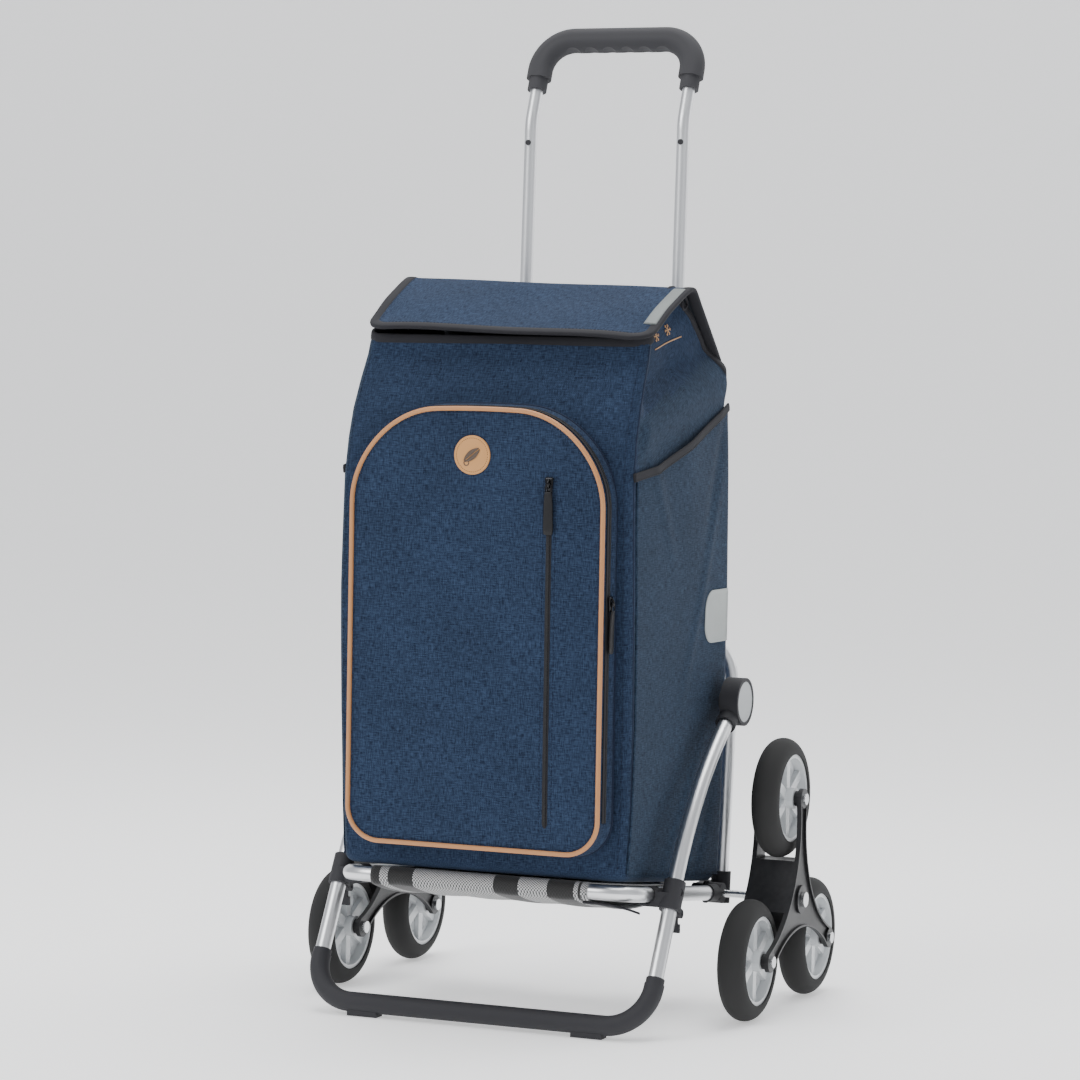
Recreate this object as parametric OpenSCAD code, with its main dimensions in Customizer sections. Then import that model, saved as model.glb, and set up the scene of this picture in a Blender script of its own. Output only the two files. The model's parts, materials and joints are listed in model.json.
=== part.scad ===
// Folding shopping trolley with stair-climbing three-wheel hubs.
// +Z is up, -Y is the front, +X is the right-hand side seen from behind the front face.
// Inside the modules y = 0 and z = axle_z is the wheel axle; placed() moves that to the part's own origin.

/* [Wheels] */
// Outer diameter of a tyre
wheel_d = 127; // [105:1:155]
// Width of a tyre
tyre_w = 30; // [24:1:36]
// Diameter of the rim's outer seat
rim_d = 93; // [80:1:100]
// Distance from the axle to a wheel bolt
hub_radius = 107; // [98:1:125]
// Outer face of the outer spider plate, from the middle of the trolley
spider_out = 262; // [256:1:285]
// Inner face of the inner spider plate, from the middle of the trolley
spider_in = 209; // [205:1:212]
// Thickness of a spider plate
plate_t = 5; // [4:0.5:7]
// Radius of an arm's rounded end
arm_end_r = 11; // [9:0.5:14]
// Least distance from the axle to the edge between two arms
spider_waist = 30; // [26:1:36]
// Diameter of a wheel bolt
wheel_bolt_d = 8; // [6:0.5:10]
// Diameter of the axle
axle_d = 8; // [7:0.5:10]

/* [Frame] */
// Backward lean of the uprights, in degrees
frame_lean = 2.2; // [0:0.1:5]
// Distance of the uprights behind the axle, at axle height
upright_back = 20; // [18:0.5:26]
// Distance from the middle to an upright
upright_x = 89.5; // [75:0.5:100]
// Outer diameter of an upright
upright_d = 18; // [17:0.5:22]
// Height of the top of the uprights
upright_top = 655; // [560:1:680]
// Distance from the middle to a leg of the back hoop
hoop_x = 160; // [154:1:164]
// Height of the back hoop's top bar
hoop_top = 386; // [384:1:420]
// Outer diameter of the hoop, stand and platform tubes
tube_d = 16; // [14:0.5:17]
// Wall of every tube
tube_wall = 1.5; // [1:0.1:2]
// Radius of the centre line in a tube's corner
corner_r = 45; // [35:1:55]

/* [Handle] */
// Outer diameter of the handle tubes
handle_d = 14; // [12:0.5:14.5]
// Height at which the handle bends back
handle_bend_z = 943; // [930:1:980]
// Angle of the bend
handle_bend = 19; // [10:1:30]
// Length of the handle above its bend, to the middle of the grip's bar
handle_rise = 97; // [85:1:120]
// Travel of the telescopic handle
handle_travel = 245; // [180:5:245]
// Height of the grip's bar
grip_h = 28; // [24:1:32]
// Depth of the grip's bar
grip_t = 23; // [20:1:27]
// Distance between finger grooves
groove_pitch = 21; // [18:0.5:24]

/* [Stand] */
// Distance from the middle to a stand leg
stand_x = 188; // [187:0.5:190]
// Distance of the foot bar in front of the axle
foot_reach = 259; // [252:1:275]
// Height of the foot bar's centre line
foot_z = 13.5; // [12:0.5:20]
// Slope of the straight part of a leg, in degrees
leg_slope = 61.6; // [59:0.2:64]
// Length of the straight part of a leg
leg_straight = 160; // [158:1:166]
// Radius of the curved part of a leg
leg_bend_r = 412; // [395:1:430]
// Angle of the curved part of a leg
leg_bend = 30; // [28:0.5:31]
// Diameter of the hinge casting's ring
ring_d = 51; // [46:1:54]

/* [Platform] */
// Distance from the middle to a side tube of the platform
platform_x = 164; // [162:0.5:166]
// Distance of the platform's front tube in front of the axle
platform_reach = 245; // [235:1:247]
// Upward slope of the platform towards the front, in degrees
platform_slope = 6.8; // [5:0.2:9]
// Half the width of the woven sling
sling_half = 118; // [100:1:118]

/* [Bag] */
// Half the width of the bag
bag_half = 166; // [150:1:172]
// Distance of the bag's front face in front of the axle
bag_front = 249; // [235:1:252]
// Distance of the bag's back face behind the axle
bag_back = 9; // [0:0.5:9]
// Height of the bag's front bottom edge
bag_bottom = 158; // [158:0.5:165]
// Height of the front hem under the lid
bag_hem = 704; // [640:1:720]
// Height of the lid's ridge
ridge_z = 767; // [710:1:780]
// Distance of the lid's ridge in front of the axle
ridge_y = 100; // [80:1:120]
// Wall of the bag
bag_wall = 4; // [3:0.5:6]
// Half the width of the front pocket
pocket_half = 142; // [120:1:145]
// Depth of the front pocket
pocket_depth = 30; // [20:1:50]
// Height of the front pocket's bottom edge
pocket_bottom = 187; // [180:1:220]
// Height of the front pocket's top edge
pocket_top = 640; // [560:1:650]

/* [Hidden] */
$fn = 48;
slack = 0.05;
gap = 0.5;
// A bent tube is this much fuller along its bend, and its straight parts run this far into it
bend_swell = 0.06;
bend_lap = 0.8;

axle_z = wheel_d / 2 + hub_radius * cos(60);
hub_spread = hub_radius * sin(60);
wheel_x = (spider_in + spider_out) / 2;
pull_proud = 5.5;
pocket_front = bag_front + pocket_depth;
front_reach = pocket_front + pull_proud;
rear_reach = hub_spread + wheel_d / 2;
axle_y = (front_reach - rear_reach) / 2;

tube_r = tube_d / 2;
handle_r = handle_d / 2;
upright_r = upright_d / 2;
axle_r = axle_d / 2;
bolt_r = wheel_bolt_d / 2;
leg_in_r = handle_r + slack;

function upright_y(z) = upright_back + (z - axle_z) * tan(frame_lean);

// Wheel hub between the two plates
boss_len = 4.7;
hub_len = spider_out - spider_in - 2 * plate_t - 2 * boss_len - 2 * 0.3;
hub_r = 11;
web_r = wheel_d / 2 + 3;
web_t = 3.2;

// Arches between the arms: tangent to the arm ends and to the waist
arch_d = (pow(spider_waist - arm_end_r, 2) - pow(hub_radius, 2))
    / (2 * (spider_waist - arm_end_r) - hub_radius);
arch_r = arch_d - spider_waist;

// Stand: foot bar, top of the straight leg, end of the curve, hinge
foot = [-foot_reach, foot_z];
leg_dir = [cos(leg_slope), sin(leg_slope)];
leg_top = foot + leg_straight * leg_dir;
leg_end_slope = leg_slope - leg_bend;
leg_end = leg_top + leg_bend_r * [
    sin(leg_slope) - sin(leg_end_slope),
    cos(leg_end_slope) - cos(leg_slope)
];
socket_len = 22;
hinge = leg_end + (socket_len - 2) * [cos(leg_end_slope - 4), sin(leg_end_slope + 22)];
cover_r = 10.4;
ring_in = stand_x - tube_r;
ring_out = stand_x + 12;
arm_x = ring_in - 3.4;
arm_t = 3.2;
hinge_pin_r = 4;
pin_head_t = 1;

// Platform: front tube, and clips where the stand legs pass its side tubes
platform_front = [-platform_reach, axle_z + platform_reach * tan(platform_slope)];
platform_len = platform_reach / cos(platform_slope);
clip_at = (axle_z + foot_reach * tan(platform_slope) - foot_z)
    / (leg_dir[1] + leg_dir[0] * tan(platform_slope));
clip_y = foot[0] + clip_at * leg_dir[0];
clip_z = foot[1] + clip_at * leg_dir[1];
collar_r = tube_r + 1;
lever_out = tube_r + 7.5;
clip_pin_r = 1.5;
lever_pin = [clip_y, clip_z] - 13 * leg_dir + lever_out * [leg_dir[1], -leg_dir[0]];
platform_corner = 34;
crossbar_r = 4;
crossbar_at = 34;
eye_r = 11;

// Back hoop, behind the uprights
hoop_foot_y = 24;
hoop_top_y = upright_y(hoop_top) + upright_r + tube_r;
hoop_lean = atan((hoop_top_y - hoop_foot_y) / (hoop_top - axle_z));
hoop_len = (hoop_top - axle_z) / cos(hoop_lean);

// Handle
collar_top = upright_top + 12;
handle_foot = 420;
bend_y = upright_y(handle_bend_z);
grip_lean = frame_lean + handle_bend;
handle_bend_r = 55;
bend_half = handle_bend_r * tan(handle_bend / 2);
grip_sleeve_at = 37;
grip_corner = 36;
sleeve_r = 10.6;
button_r = 3;
button_z = collar_top + handle_travel + button_r + 5;
lever_at = 17;
lever_z = upright_top + 3;
clamp_pin_r = 2;

// Bag
lid_t = 2.5;
lid_gap = 1.5;
lid_half = 158;
bag_top_half = 150;
lid_hinge = [bag_back + 1, bag_hem - 34];
lid_front = [-bag_front + 36, bag_hem + 4];
bag_shoulder = bag_hem - 66;
pull_len = 38;
front_zip_x = 82;
front_zip_top = 572;
front_zip_bottom = 212;
side_zip_y = -(bag_front + 17);
side_zip_z = 440;
badge_at = [-4, 587];
badge_r = 20;
// Bound edge of a side pocket, from the front seam up to the back (y, z)
pocket_edge = [[-bag_front + 28, 568], [-189, 575], [-106, 599], [bag_back - 20, 632]];
reflector_z = 416;

// ---------- helpers ----------

module placed() {
    translate([0, axle_y, 0]) children();
}

// Right-hand copy as drawn, left-hand copy mirrored
module side(s) {
    if (s > 0) children();
    else mirror([1, 0, 0]) children();
}

module both_sides() {
    side(1) children();
    side(-1) children();
}

// Cylinder along X between two distances from the middle
module across(x0, x1, r) {
    translate([x0, 0, 0]) rotate([0, 90, 0]) cylinder(h = x1 - x0, r = r);
}

// Cylinder that starts at a point in the side view and rises at a slope above +Y
module leaning(p, slope, length, r) {
    translate([0, p[0], p[1]]) rotate([slope - 90, 0, 0]) cylinder(h = length, r = r);
}

// Cylinder along the uprights' lean, between two heights
module along_upright(z0, z1, r) {
    translate([0, upright_y(z0), z0])
        rotate([-frame_lean, 0, 0])
            cylinder(h = (z1 - z0) / cos(frame_lean), r = r);
}

// Flat U of round bar in the XY plane: the bar crosses at y = 0 and the legs run to y = leg
module flat_u(half, leg, bend, r) {
    across(-half + bend, half - bend, r);
    both_sides() {
        translate([half, bend, 0]) rotate([-90, 0, 0]) cylinder(h = leg - bend, r = r);
        translate([half - bend, bend, 0])
            rotate([0, 0, -90])
                rotate_extrude(angle = 90)
                    translate([bend, 0]) circle(r = r);
    }
}

module hollow_u(half, leg, bend, r, wall) {
    difference() {
        flat_u(half, leg, bend, r);
        flat_u(half, leg + 1, bend, r - wall);
    }
}

// Rectangle with its own radius at the bottom and at the top corners
module soft_rect(half, z0, z1, r0, r1) {
    for (s = [-1, 1]) {
        translate([s * (half - r0), z0 + r0]) circle(r = r0, $fn = 96);
        translate([s * (half - r1), z1 - r1]) circle(r = r1, $fn = 96);
    }
    polygon([
        [-half + r0, z0], [half - r0, z0], [half, z0 + r0], [half, z1 - r1],
        [half - r1, z1], [-half + r1, z1], [-half, z1 - r1], [-half, z0 + r0]
    ]);
}

// A side-view shape (y, z) carried across from x = -half to half
module across_body(half) {
    translate([-half, 0, 0])
        rotate([90, 0, 90])
            linear_extrude(2 * half) children();
}

// A front-view shape (x, z) carried back from y0 to y1
module front_body(y0, y1) {
    translate([0, y1, 0])
        rotate([90, 0, 0])
            linear_extrude(y1 - y0) children();
}

// ---------- wheels and spiders ----------

function hub_at(i) = hub_radius * [cos(90 + 120 * i), sin(90 + 120 * i)];

// Side-view turn of the spider frame: children drawn in (y, z) about the axle, from x0 to x1
module spider_slab(x0, x1) {
    translate([x0, 0, axle_z])
        rotate([90, 0, 90])
            linear_extrude(x1 - x0) children();
}

// Three-armed outline, drawn in by i all round
module spider_outline(i = 0) {
    difference() {
        polygon([
            for (k = [0:2]) for (s = [-1, 1])
                hub_at(k) + (arm_end_r - i) * arch_direction(k, s)
        ]);
        for (k = [0:2]) rotate([0, 0, 150 + 120 * k]) translate([arch_d, 0]) circle(r = arch_r + i, $fn = 180);
    }
    for (k = [0:2]) translate(hub_at(k)) circle(r = arm_end_r - i);
}

// Unit vector from wheel bolt k towards the centre of the arch on its side s
function arch_direction(k, s) =
    let (
        turn = 90 + 120 * k + s * 60,
        to = arch_d * [cos(turn), sin(turn)] - hub_at(k)
    ) to / norm(to);

module spider_casting(x0, x1, rim_out) {
    rim = 2.2;
    floor_x0 = rim_out ? x0 : x0 + plate_t / 2;
    floor_x1 = rim_out ? x0 + plate_t / 2 : x1;
    spider_slab(floor_x0, floor_x1) spider_outline();
    spider_slab(x0, x1) difference() {
        spider_outline();
        spider_outline(rim);
    }
    spider_slab(x0, x1) {
        circle(r = 15);
        for (k = [0:2]) translate(hub_at(k)) circle(r = arm_end_r - 1);
    }
}

module spider_bores() {
    translate([0, 0, axle_z]) across(spider_in - 30, spider_out + 30, axle_r + slack);
    for (k = [0:2])
        translate([0, hub_at(k)[0], axle_z + hub_at(k)[1]])
            across(spider_in - 30, spider_out + 30, bolt_r);
}

// Inner plate with the box web that reaches the outer plate
module spider(s) {
    color("#1c1c1e") side(s) placed() difference() {
        union() {
            spider_casting(spider_in, spider_in + plate_t, false);
            spider_slab(spider_in + plate_t, spider_out - plate_t) difference() {
                spider_outline();
                for (k = [0:2]) translate(hub_at(k)) circle(r = web_r, $fn = 96);
                difference() {
                    spider_outline(web_t);
                    for (k = [0:2]) translate(hub_at(k)) circle(r = web_r + web_t, $fn = 96);
                    circle(r = 12);
                }
            }
            for (k = [0:2])
                translate([0, hub_at(k)[0], axle_z + hub_at(k)[1]])
                    across(spider_in + plate_t, spider_in + plate_t + boss_len, 8);
        }
        spider_bores();
    }
}

module spider_plate(s) {
    color("#1c1c1e") side(s) placed() difference() {
        union() {
            spider_casting(spider_out - plate_t, spider_out, true);
            for (k = [0:2])
                translate([0, hub_at(k)[0], axle_z + hub_at(k)[1]])
                    across(spider_out - plate_t - boss_len, spider_out - plate_t, 8);
        }
        spider_bores();
    }
}

module spider_bolts(s) {
    head = 2.6;
    color("silver") side(s) placed()
        for (k = [0:2]) translate([0, hub_at(k)[0], axle_z + hub_at(k)[1]]) {
            across(spider_in - 4, spider_out, bolt_r);
            across(spider_out, spider_out + head, 6);
            across(spider_in - 4, spider_in, 6.4);
        }
}

// Frame of wheel k on side s, with the wheel's own axis along Z
module at_wheel(s, k) {
    side(s) placed() translate([wheel_x, hub_at(k)[0], axle_z + hub_at(k)[1]]) rotate([0, 90, 0]) children();
}

module tyre(s, k) {
    color("#151515") at_wheel(s, k) rotate_extrude($fn = 96) difference() {
        translate([wheel_d / 2 - tyre_w / 2, 0]) circle(r = tyre_w / 2);
        translate([0, -tyre_w]) square([rim_d / 2, 2 * tyre_w]);
    }
}

// Seat ring, hub and a spoked disc with round windows, turning on its bolt
module rim(s, k) {
    rim_r = rim_d / 2;
    spokes = 6;
    color("#b9bcbd") at_wheel(s, k) difference() {
        union() {
            rotate_extrude($fn = 96) translate([rim_r - 4, -tyre_w / 2 + 2]) square([4, tyre_w - 4]);
            cylinder(h = hub_len, r = hub_r, center = true);
            cylinder(h = 5, r = rim_r - 3, center = true);
            for (a = [0:spokes - 1])
                rotate([0, 0, a * 360 / spokes])
                    translate([hub_r - 2, -5, -8]) cube([rim_r - hub_r - 1, 10, 16]);
        }
        cylinder(h = hub_len + 2, r = bolt_r + slack, center = true);
        for (a = [0:spokes - 1])
            rotate([0, 0, (a + 0.5) * 360 / spokes])
                translate([(rim_r + hub_r) / 2, 0, -10]) cylinder(h = 20, r = 8.5);
    }
}

// ---------- axle and back frame ----------

module axle() {
    color("silver") placed() translate([0, 0, axle_z]) across(-spider_out - 1, spider_out + 1, axle_r);
}

module axle_fasteners() {
    color("silver") placed() both_sides() translate([0, 0, axle_z]) {
        difference() {
            across(spider_out + gap, spider_out + 4, 8);
            across(spider_out - 1, spider_out + 1, axle_r);
        }
        difference() {
            across(spider_in - 2.5, spider_in - gap, 8.5);
            across(spider_in - 5, spider_in + 1, axle_r);
        }
    }
}

module uprights() {
    color("silver") placed() both_sides() translate([upright_x, 0, 0]) difference() {
        along_upright(axle_z - 10, upright_top, upright_r);
        along_upright(axle_z - 12, upright_top + 2, leg_in_r);
    }
}

module hoop_frame() {
    translate([0, hoop_top_y, hoop_top]) rotate([-90 - hoop_lean, 0, 0]) mirror([0, 0, 1]) children();
}

module back_hoop() {
    color("silver") placed() hoop_frame() hollow_u(hoop_x, hoop_len + 12, corner_r, tube_r, tube_wall);
}

module cross_clamps() {
    wide = 32;
    color("#1c1c1e") placed() both_sides() difference() {
        translate([upright_x - wide / 2, upright_y(hoop_top) - upright_r - 3, hoop_top - wide / 2])
            cube([wide, upright_r * 2 + tube_d + 6, wide]);
        translate([upright_x, 0, 0]) along_upright(hoop_top - wide, hoop_top + wide, upright_r);
        translate([0, hoop_top_y, hoop_top]) across(upright_x - wide, upright_x + wide, tube_r);
    }
}

// Blocks that hold the feet of the uprights on the axle
module axle_blocks() {
    half = 13;
    color("#1c1c1e") placed() both_sides() difference() {
        union() {
            translate([0, 0, axle_z]) across(upright_x - half, upright_x + half, 10);
            translate([upright_x - half, 0, axle_z - 14]) cube([2 * half, upright_back + upright_r + 3, 30]);
        }
        translate([0, 0, axle_z]) across(upright_x - 20, upright_x + 20, axle_r);
        translate([upright_x, 0, 0]) along_upright(axle_z - 10, axle_z + 40, upright_r);
    }
}

// Castings that hold the feet of the hoop on the axle, with a thin round flange beside each platform eye
module hoop_brackets() {
    flange = platform_x - tube_r - 2;
    cup_r = tube_r + 2.6;
    color("#1c1c1e") placed() both_sides() difference() {
        union() {
            translate([0, 0, axle_z]) across(flange - 16, flange, 9);
            translate([0, 0, axle_z]) across(flange - 2.5, flange, eye_r + 1);
            translate([flange - 14, 0, axle_z - 9]) cube([12, hoop_foot_y + 4, 18]);
            translate([hoop_x, 0, 0]) hoop_leg(-14, 20, cup_r);
        }
        translate([0, 0, axle_z]) across(flange - 20, flange + 2, axle_r);
        translate([hoop_x, 0, 0]) hoop_leg(-12, 30, tube_r);
    }
}

// Cylinder along a hoop leg, from and to distances above axle height
module hoop_leg(z0, z1, r) {
    translate([0, hoop_foot_y, axle_z]) rotate([-hoop_lean, 0, 0]) translate([0, 0, z0]) cylinder(h = z1 - z0, r = r);
}

// Flat arms from the hoop's legs forward to the stand's hinges
module hinge_arms() {
    hoop_y = hoop_foot_y + (hinge[1] - axle_z) * tan(hoop_lean);
    inner = hoop_x + tube_r;
    color("#1c1c1e") placed() both_sides() difference() {
        union() {
            translate([0, hinge[0], hinge[1]]) across(arm_x - arm_t, arm_x, 11);
            translate([arm_x - arm_t, hinge[0], hinge[1] - 8]) cube([arm_t, hoop_y - hinge[0], 16]);
            translate([0, hoop_y, hinge[1]]) across(inner - 4, arm_x, 10);
            translate([hoop_x, 0, 0]) hoop_leg(hinge[1] - axle_z - 14, hinge[1] - axle_z + 14, tube_r + 2.6);
        }
        translate([hoop_x, 0, 0]) hoop_leg(hinge[1] - axle_z - 20, hinge[1] - axle_z + 20, tube_r);
        translate([0, hinge[0], hinge[1]]) across(arm_x - 10, arm_x + 2, hinge_pin_r);
    }
}

module hinge_pins() {
    color("silver") placed() both_sides() translate([0, hinge[0], hinge[1]]) {
        across(arm_x - arm_t - pin_head_t, ring_out - 4, hinge_pin_r);
        across(arm_x - arm_t - pin_head_t, arm_x - arm_t, 6);
    }
}

// Collars that close on the handle tubes, with ears for the clamp levers behind them
module upright_collars() {
    color("#1c1c1e") placed() both_sides() difference() {
        union() {
            translate([upright_x, 0, 0]) along_upright(upright_top - 24, collar_top, upright_r + 3.5);
            for (x = [-8.5, 4.5])
                translate([upright_x + x, upright_y(lever_z) + upright_r, lever_z - 7]) cube([4, 13.5, 14]);
        }
        translate([upright_x, 0, 0]) along_upright(upright_top - 30, upright_top, upright_r);
        translate([upright_x, 0, 0]) along_upright(upright_top - 30, collar_top + 4, leg_in_r);
        translate([0, upright_y(lever_z) + lever_at, lever_z]) across(upright_x - 12, upright_x + 12, clamp_pin_r + slack);
    }
}

// Lever and its pin: it hangs down behind the upright when the collar is shut
module clamp_lever(s) {
    y = upright_y(lever_z) + lever_at;
    color("#2a2a2c") side(s) placed() {
        translate([0, y, lever_z]) {
            across(upright_x - 10, upright_x + 10, clamp_pin_r);
            across(upright_x - 4, upright_x + 4, 4);
        }
        translate([upright_x - 4, y - 0.5, lever_z - 48]) cube([8, 4.5, 48]);
        translate([upright_x - 7, y - 0.5, lever_z - 62]) cube([14, 4.5, 20]);
    }
}

// ---------- handle ----------

// Children drawn about the handle's bend with +Z along the raked upper part
module raked() {
    translate([0, bend_y, handle_bend_z]) rotate([-grip_lean, 0, 0]) children();
}

module handle_solid(r, over) {
    lower = (handle_bend_z - handle_foot) / cos(frame_lean) - bend_half + over;
    raked() {
        translate([0, 0, bend_half - bend_lap])
            cylinder(h = handle_rise - bend_half - grip_corner + over + bend_lap, r = r);
        translate([0, handle_bend_r, bend_half]) {
            rotate([90, 0, 90]) rotate([0, 0, 180]) rotate_extrude(angle = handle_bend, $fn = 96)
                translate([handle_bend_r, 0]) circle(r = r + bend_swell);
            rotate([handle_bend, 0, 0]) translate([0, -handle_bend_r, -lower])
                cylinder(h = lower + bend_lap, r = r);
        }
    }
}

module handle_tubes() {
    color("silver") placed() both_sides() translate([upright_x, 0, 0]) difference() {
        handle_solid(handle_r, 0);
        handle_solid(handle_r - tube_wall, 1);
        translate([0, upright_y(button_z) - handle_r - 2, button_z]) rotate([-90, 0, 0])
            cylinder(h = handle_d - 1, r = button_r + slack);
    }
}

// Sprung stop button in the front of each handle tube
module stop_button(s) {
    color("#1c1c1e") side(s) placed() translate([upright_x, upright_y(button_z) - handle_r - 1.4, button_z])
        rotate([-90, 0, 0]) cylinder(h = 6.5, r = button_r);
}

// Stadium profile of the grip, taller than it is deep
module grip_bar_section() {
    r = grip_t / 2;
    for (s = [-1, 1]) translate([s * (grip_h / 2 - r), 0]) circle(r = r);
    square([grip_h - grip_t, grip_t], center = true);
}

module grip() {
    grooves = 6;
    half = upright_x - grip_corner;
    groove_r = 13;
    color("#26272a") placed() raked() difference() {
        union() {
            translate([-half, 0, handle_rise]) rotate([0, 90, 0]) linear_extrude(2 * half) grip_bar_section();
            both_sides() {
                translate([half, 0, handle_rise - grip_corner])
                    rotate([90, 0, 0]) rotate_extrude(angle = 90) translate([grip_corner, 0]) grip_bar_section();
                translate([upright_x, 0, grip_sleeve_at + 14])
                    linear_extrude(handle_rise - grip_corner - grip_sleeve_at - 14) grip_bar_section();
                translate([upright_x, 0, grip_sleeve_at])
                    cylinder(h = 14 + slack, r = sleeve_r);
            }
        }
        both_sides() translate([upright_x, 0, 0]) cylinder(h = handle_rise - grip_corner, r = handle_r);
        for (i = [0:grooves - 1])
            translate([(i - (grooves - 1) / 2) * groove_pitch, grip_t, handle_rise - grip_h / 2 - groove_r + 3.2])
                rotate([90, 0, 0]) cylinder(h = 2 * grip_t, r = groove_r - 0.4);
    }
}

// ---------- stand ----------

// Both legs and the foot bar: a flat U, then a backward curve of the given angle on each leg
module stand_path(r, curve) {
    translate([0, foot[0], foot[1]]) rotate([leg_slope, 0, 0])
        flat_u(stand_x, leg_straight + bend_lap, corner_r, r);
    both_sides() leg_curve(r + bend_swell, curve);
}

module leg_curve(r, curve) {
    translate([stand_x, leg_top[0], leg_top[1]]) rotate([leg_slope, 0, 0])
        translate([0, 0, -leg_bend_r]) rotate([90, 0, 90])
            rotate([0, 0, 90 - curve]) rotate_extrude(angle = curve, $fn = 96)
                translate([leg_bend_r, 0]) circle(r = r);
}

module stand_bow() {
    color("silver") placed() difference() {
        stand_path(tube_r, leg_bend);
        stand_path(tube_r - tube_wall, leg_bend + 0.5);
    }
}

// Castings on the ends of the stand legs: a sleeve, and a ring that turns on the hinge pin
module hinge_sockets() {
    ring_r = ring_d / 2;
    color("#1c1c1e") placed() both_sides() difference() {
        union() {
            translate([stand_x, 0, 0]) leaning(leg_end - 12 * unit(leg_end_slope), leg_end_slope, 30, tube_r + 3);
            translate([0, hinge[0], hinge[1]]) across(ring_in, ring_out, ring_r);
        }
        translate([stand_x, 0, 0]) leaning(leg_end - 14 * unit(leg_end_slope), leg_end_slope, 14, tube_r + 0.4);
        translate([0, hinge[0], hinge[1]]) {
            across(ring_in - 2, ring_out + 2, hinge_pin_r + slack);
            across(ring_out - 3, ring_out + 2, ring_r - 4);
        }
    }
}

function unit(a) = [cos(a), sin(a)];

module hinge_caps() {
    color("#a7a9ab") placed() both_sides() translate([0, hinge[0], hinge[1]])
        across(ring_out - 3, ring_out - 0.4, ring_d / 2 - 4);
}

// Moulded cover round the foot bar and up past both corners
module foot_cover() {
    lug = 48;
    color("#1c1c1e") placed() translate([0, foot[0], foot[1]]) rotate([leg_slope, 0, 0]) difference() {
        union() {
            flat_u(stand_x, lug, corner_r, cover_r);
            both_sides() translate([stand_x, lug - 1, 0]) rotate([-90, 0, 0]) cylinder(h = 7, r = cover_r - 0.8);
        }
        flat_u(stand_x, lug + 10, corner_r, tube_r);
    }
}

module foot_pads() {
    wide = 34;
    color("#1c1c1e") placed() both_sides() difference() {
        translate([stand_x - corner_r - wide, foot[0] - 7, 0]) cube([wide, 14, foot_z - cover_r + 4]);
        translate([0, foot[0], foot[1]]) across(100, 200, cover_r);
    }
}

// Clips on the stand legs: a sleeve round the leg and a saddle, open upwards, for the platform's side tube
module clips() {
    sleeve = 32;
    reach = sleeve / 2;
    color("#1c1c1e") placed() both_sides() difference() {
        union() {
            translate([stand_x, 0, 0])
                leaning([clip_y, clip_z] - reach * leg_dir, leg_slope, sleeve, tube_r + 3.2);
            on_platform(clip_y) {
                translate([platform_x, -11, 0]) rotate([-90, 0, 0]) cylinder(h = 22, r = collar_r + 3);
                translate([platform_x, -11, -collar_r - 3]) cube([stand_x - platform_x, 22, collar_r + 7]);
            }
            for (x = [-8, 3]) at_lever() {
                translate([stand_x, 0, 0]) across(x, x + 5, 4.5);
                translate([stand_x + x, -4.5, 0]) cube([5, 9, lever_out]);
            }
        }
        translate([stand_x, 0, 0]) leaning([clip_y, clip_z] - sleeve * leg_dir, leg_slope, 2 * sleeve, tube_r);
        on_platform(clip_y) {
            translate([platform_x, -30, 0]) rotate([-90, 0, 0]) cylinder(h = 60, r = collar_r + 0.4);
            translate([platform_x - collar_r - 0.4, -30, 0]) cube([2 * collar_r + 0.8, 60, 30]);
            translate([platform_x - 30, -30, 5]) cube([30, 60, 30]);
        }
        at_lever() across(stand_x - 20, stand_x + 20, clip_pin_r + slack);
        translate([0, clip_y - 3, clip_z + 5]) across(stand_x + tube_r + 1.8, stand_x + 20, 4);
    }
}

// Frame on the platform's side tube at y, with +Y along the tube towards the back
module on_platform(y) {
    translate([0, y, axle_z - y * tan(platform_slope)]) rotate([-platform_slope, 0, 0]) children();
}

// Frame of the release lever's pin: +Y along the leg, +Z towards the leg
module at_lever() {
    translate([0, lever_pin[0], lever_pin[1]]) rotate([leg_slope, 0, 0]) children();
}

// Release lever below the clip, on its own pin
module clip_lever(s) {
    color("#1c1c1e") side(s) placed() translate([0, lever_pin[0], lever_pin[1]]) {
        across(stand_x - 7, stand_x + 7, clip_pin_r);
        across(stand_x - 2.7, stand_x + 2.7, 3.6);
        translate([stand_x - 2.7, 0, -12]) cube([5.4, 3.4, 12]);
        translate([stand_x - 5, 0, -20]) cube([10, 3.4, 9]);
    }
}

// ---------- platform ----------

module platform_frame() {
    translate([0, platform_front[0], platform_front[1]]) rotate([-platform_slope, 0, 0]) children();
}

module platform_tube() {
    color("silver") placed() platform_frame()
        hollow_u(platform_x, platform_len - eye_r + 1, platform_corner, tube_r, tube_wall);
}

// Eyes at the back of the side tubes, turning on the axle
module platform_eyes() {
    color("#1c1c1e") placed() both_sides() difference() {
        union() {
            translate([0, 0, axle_z]) across(platform_x - tube_r, platform_x + tube_r, eye_r);
            platform_frame() translate([platform_x, platform_len - 30, 0]) rotate([-90, 0, 0])
                cylinder(h = 24, r = tube_r + 1.4);
        }
        platform_frame() translate([platform_x, platform_len - 40, 0]) rotate([-90, 0, 0])
            cylinder(h = 41 - eye_r, r = tube_r);
        translate([0, 0, axle_z]) across(platform_x - 20, platform_x + 20, axle_r + slack);
    }
}

// Ribbed collars that the clips hold
module platform_collars() {
    color("#1c1c1e") placed() both_sides() on_platform(clip_y) difference() {
        union() {
            translate([platform_x, -9, 0]) rotate([-90, 0, 0]) cylinder(h = 18, r = collar_r - 0.3);
            for (y = [-8:4:8]) translate([platform_x, y - 1, 0]) rotate([-90, 0, 0]) cylinder(h = 2, r = collar_r);
        }
        translate([platform_x, -20, 0]) rotate([-90, 0, 0]) cylinder(h = 40, r = tube_r);
    }
}

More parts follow.
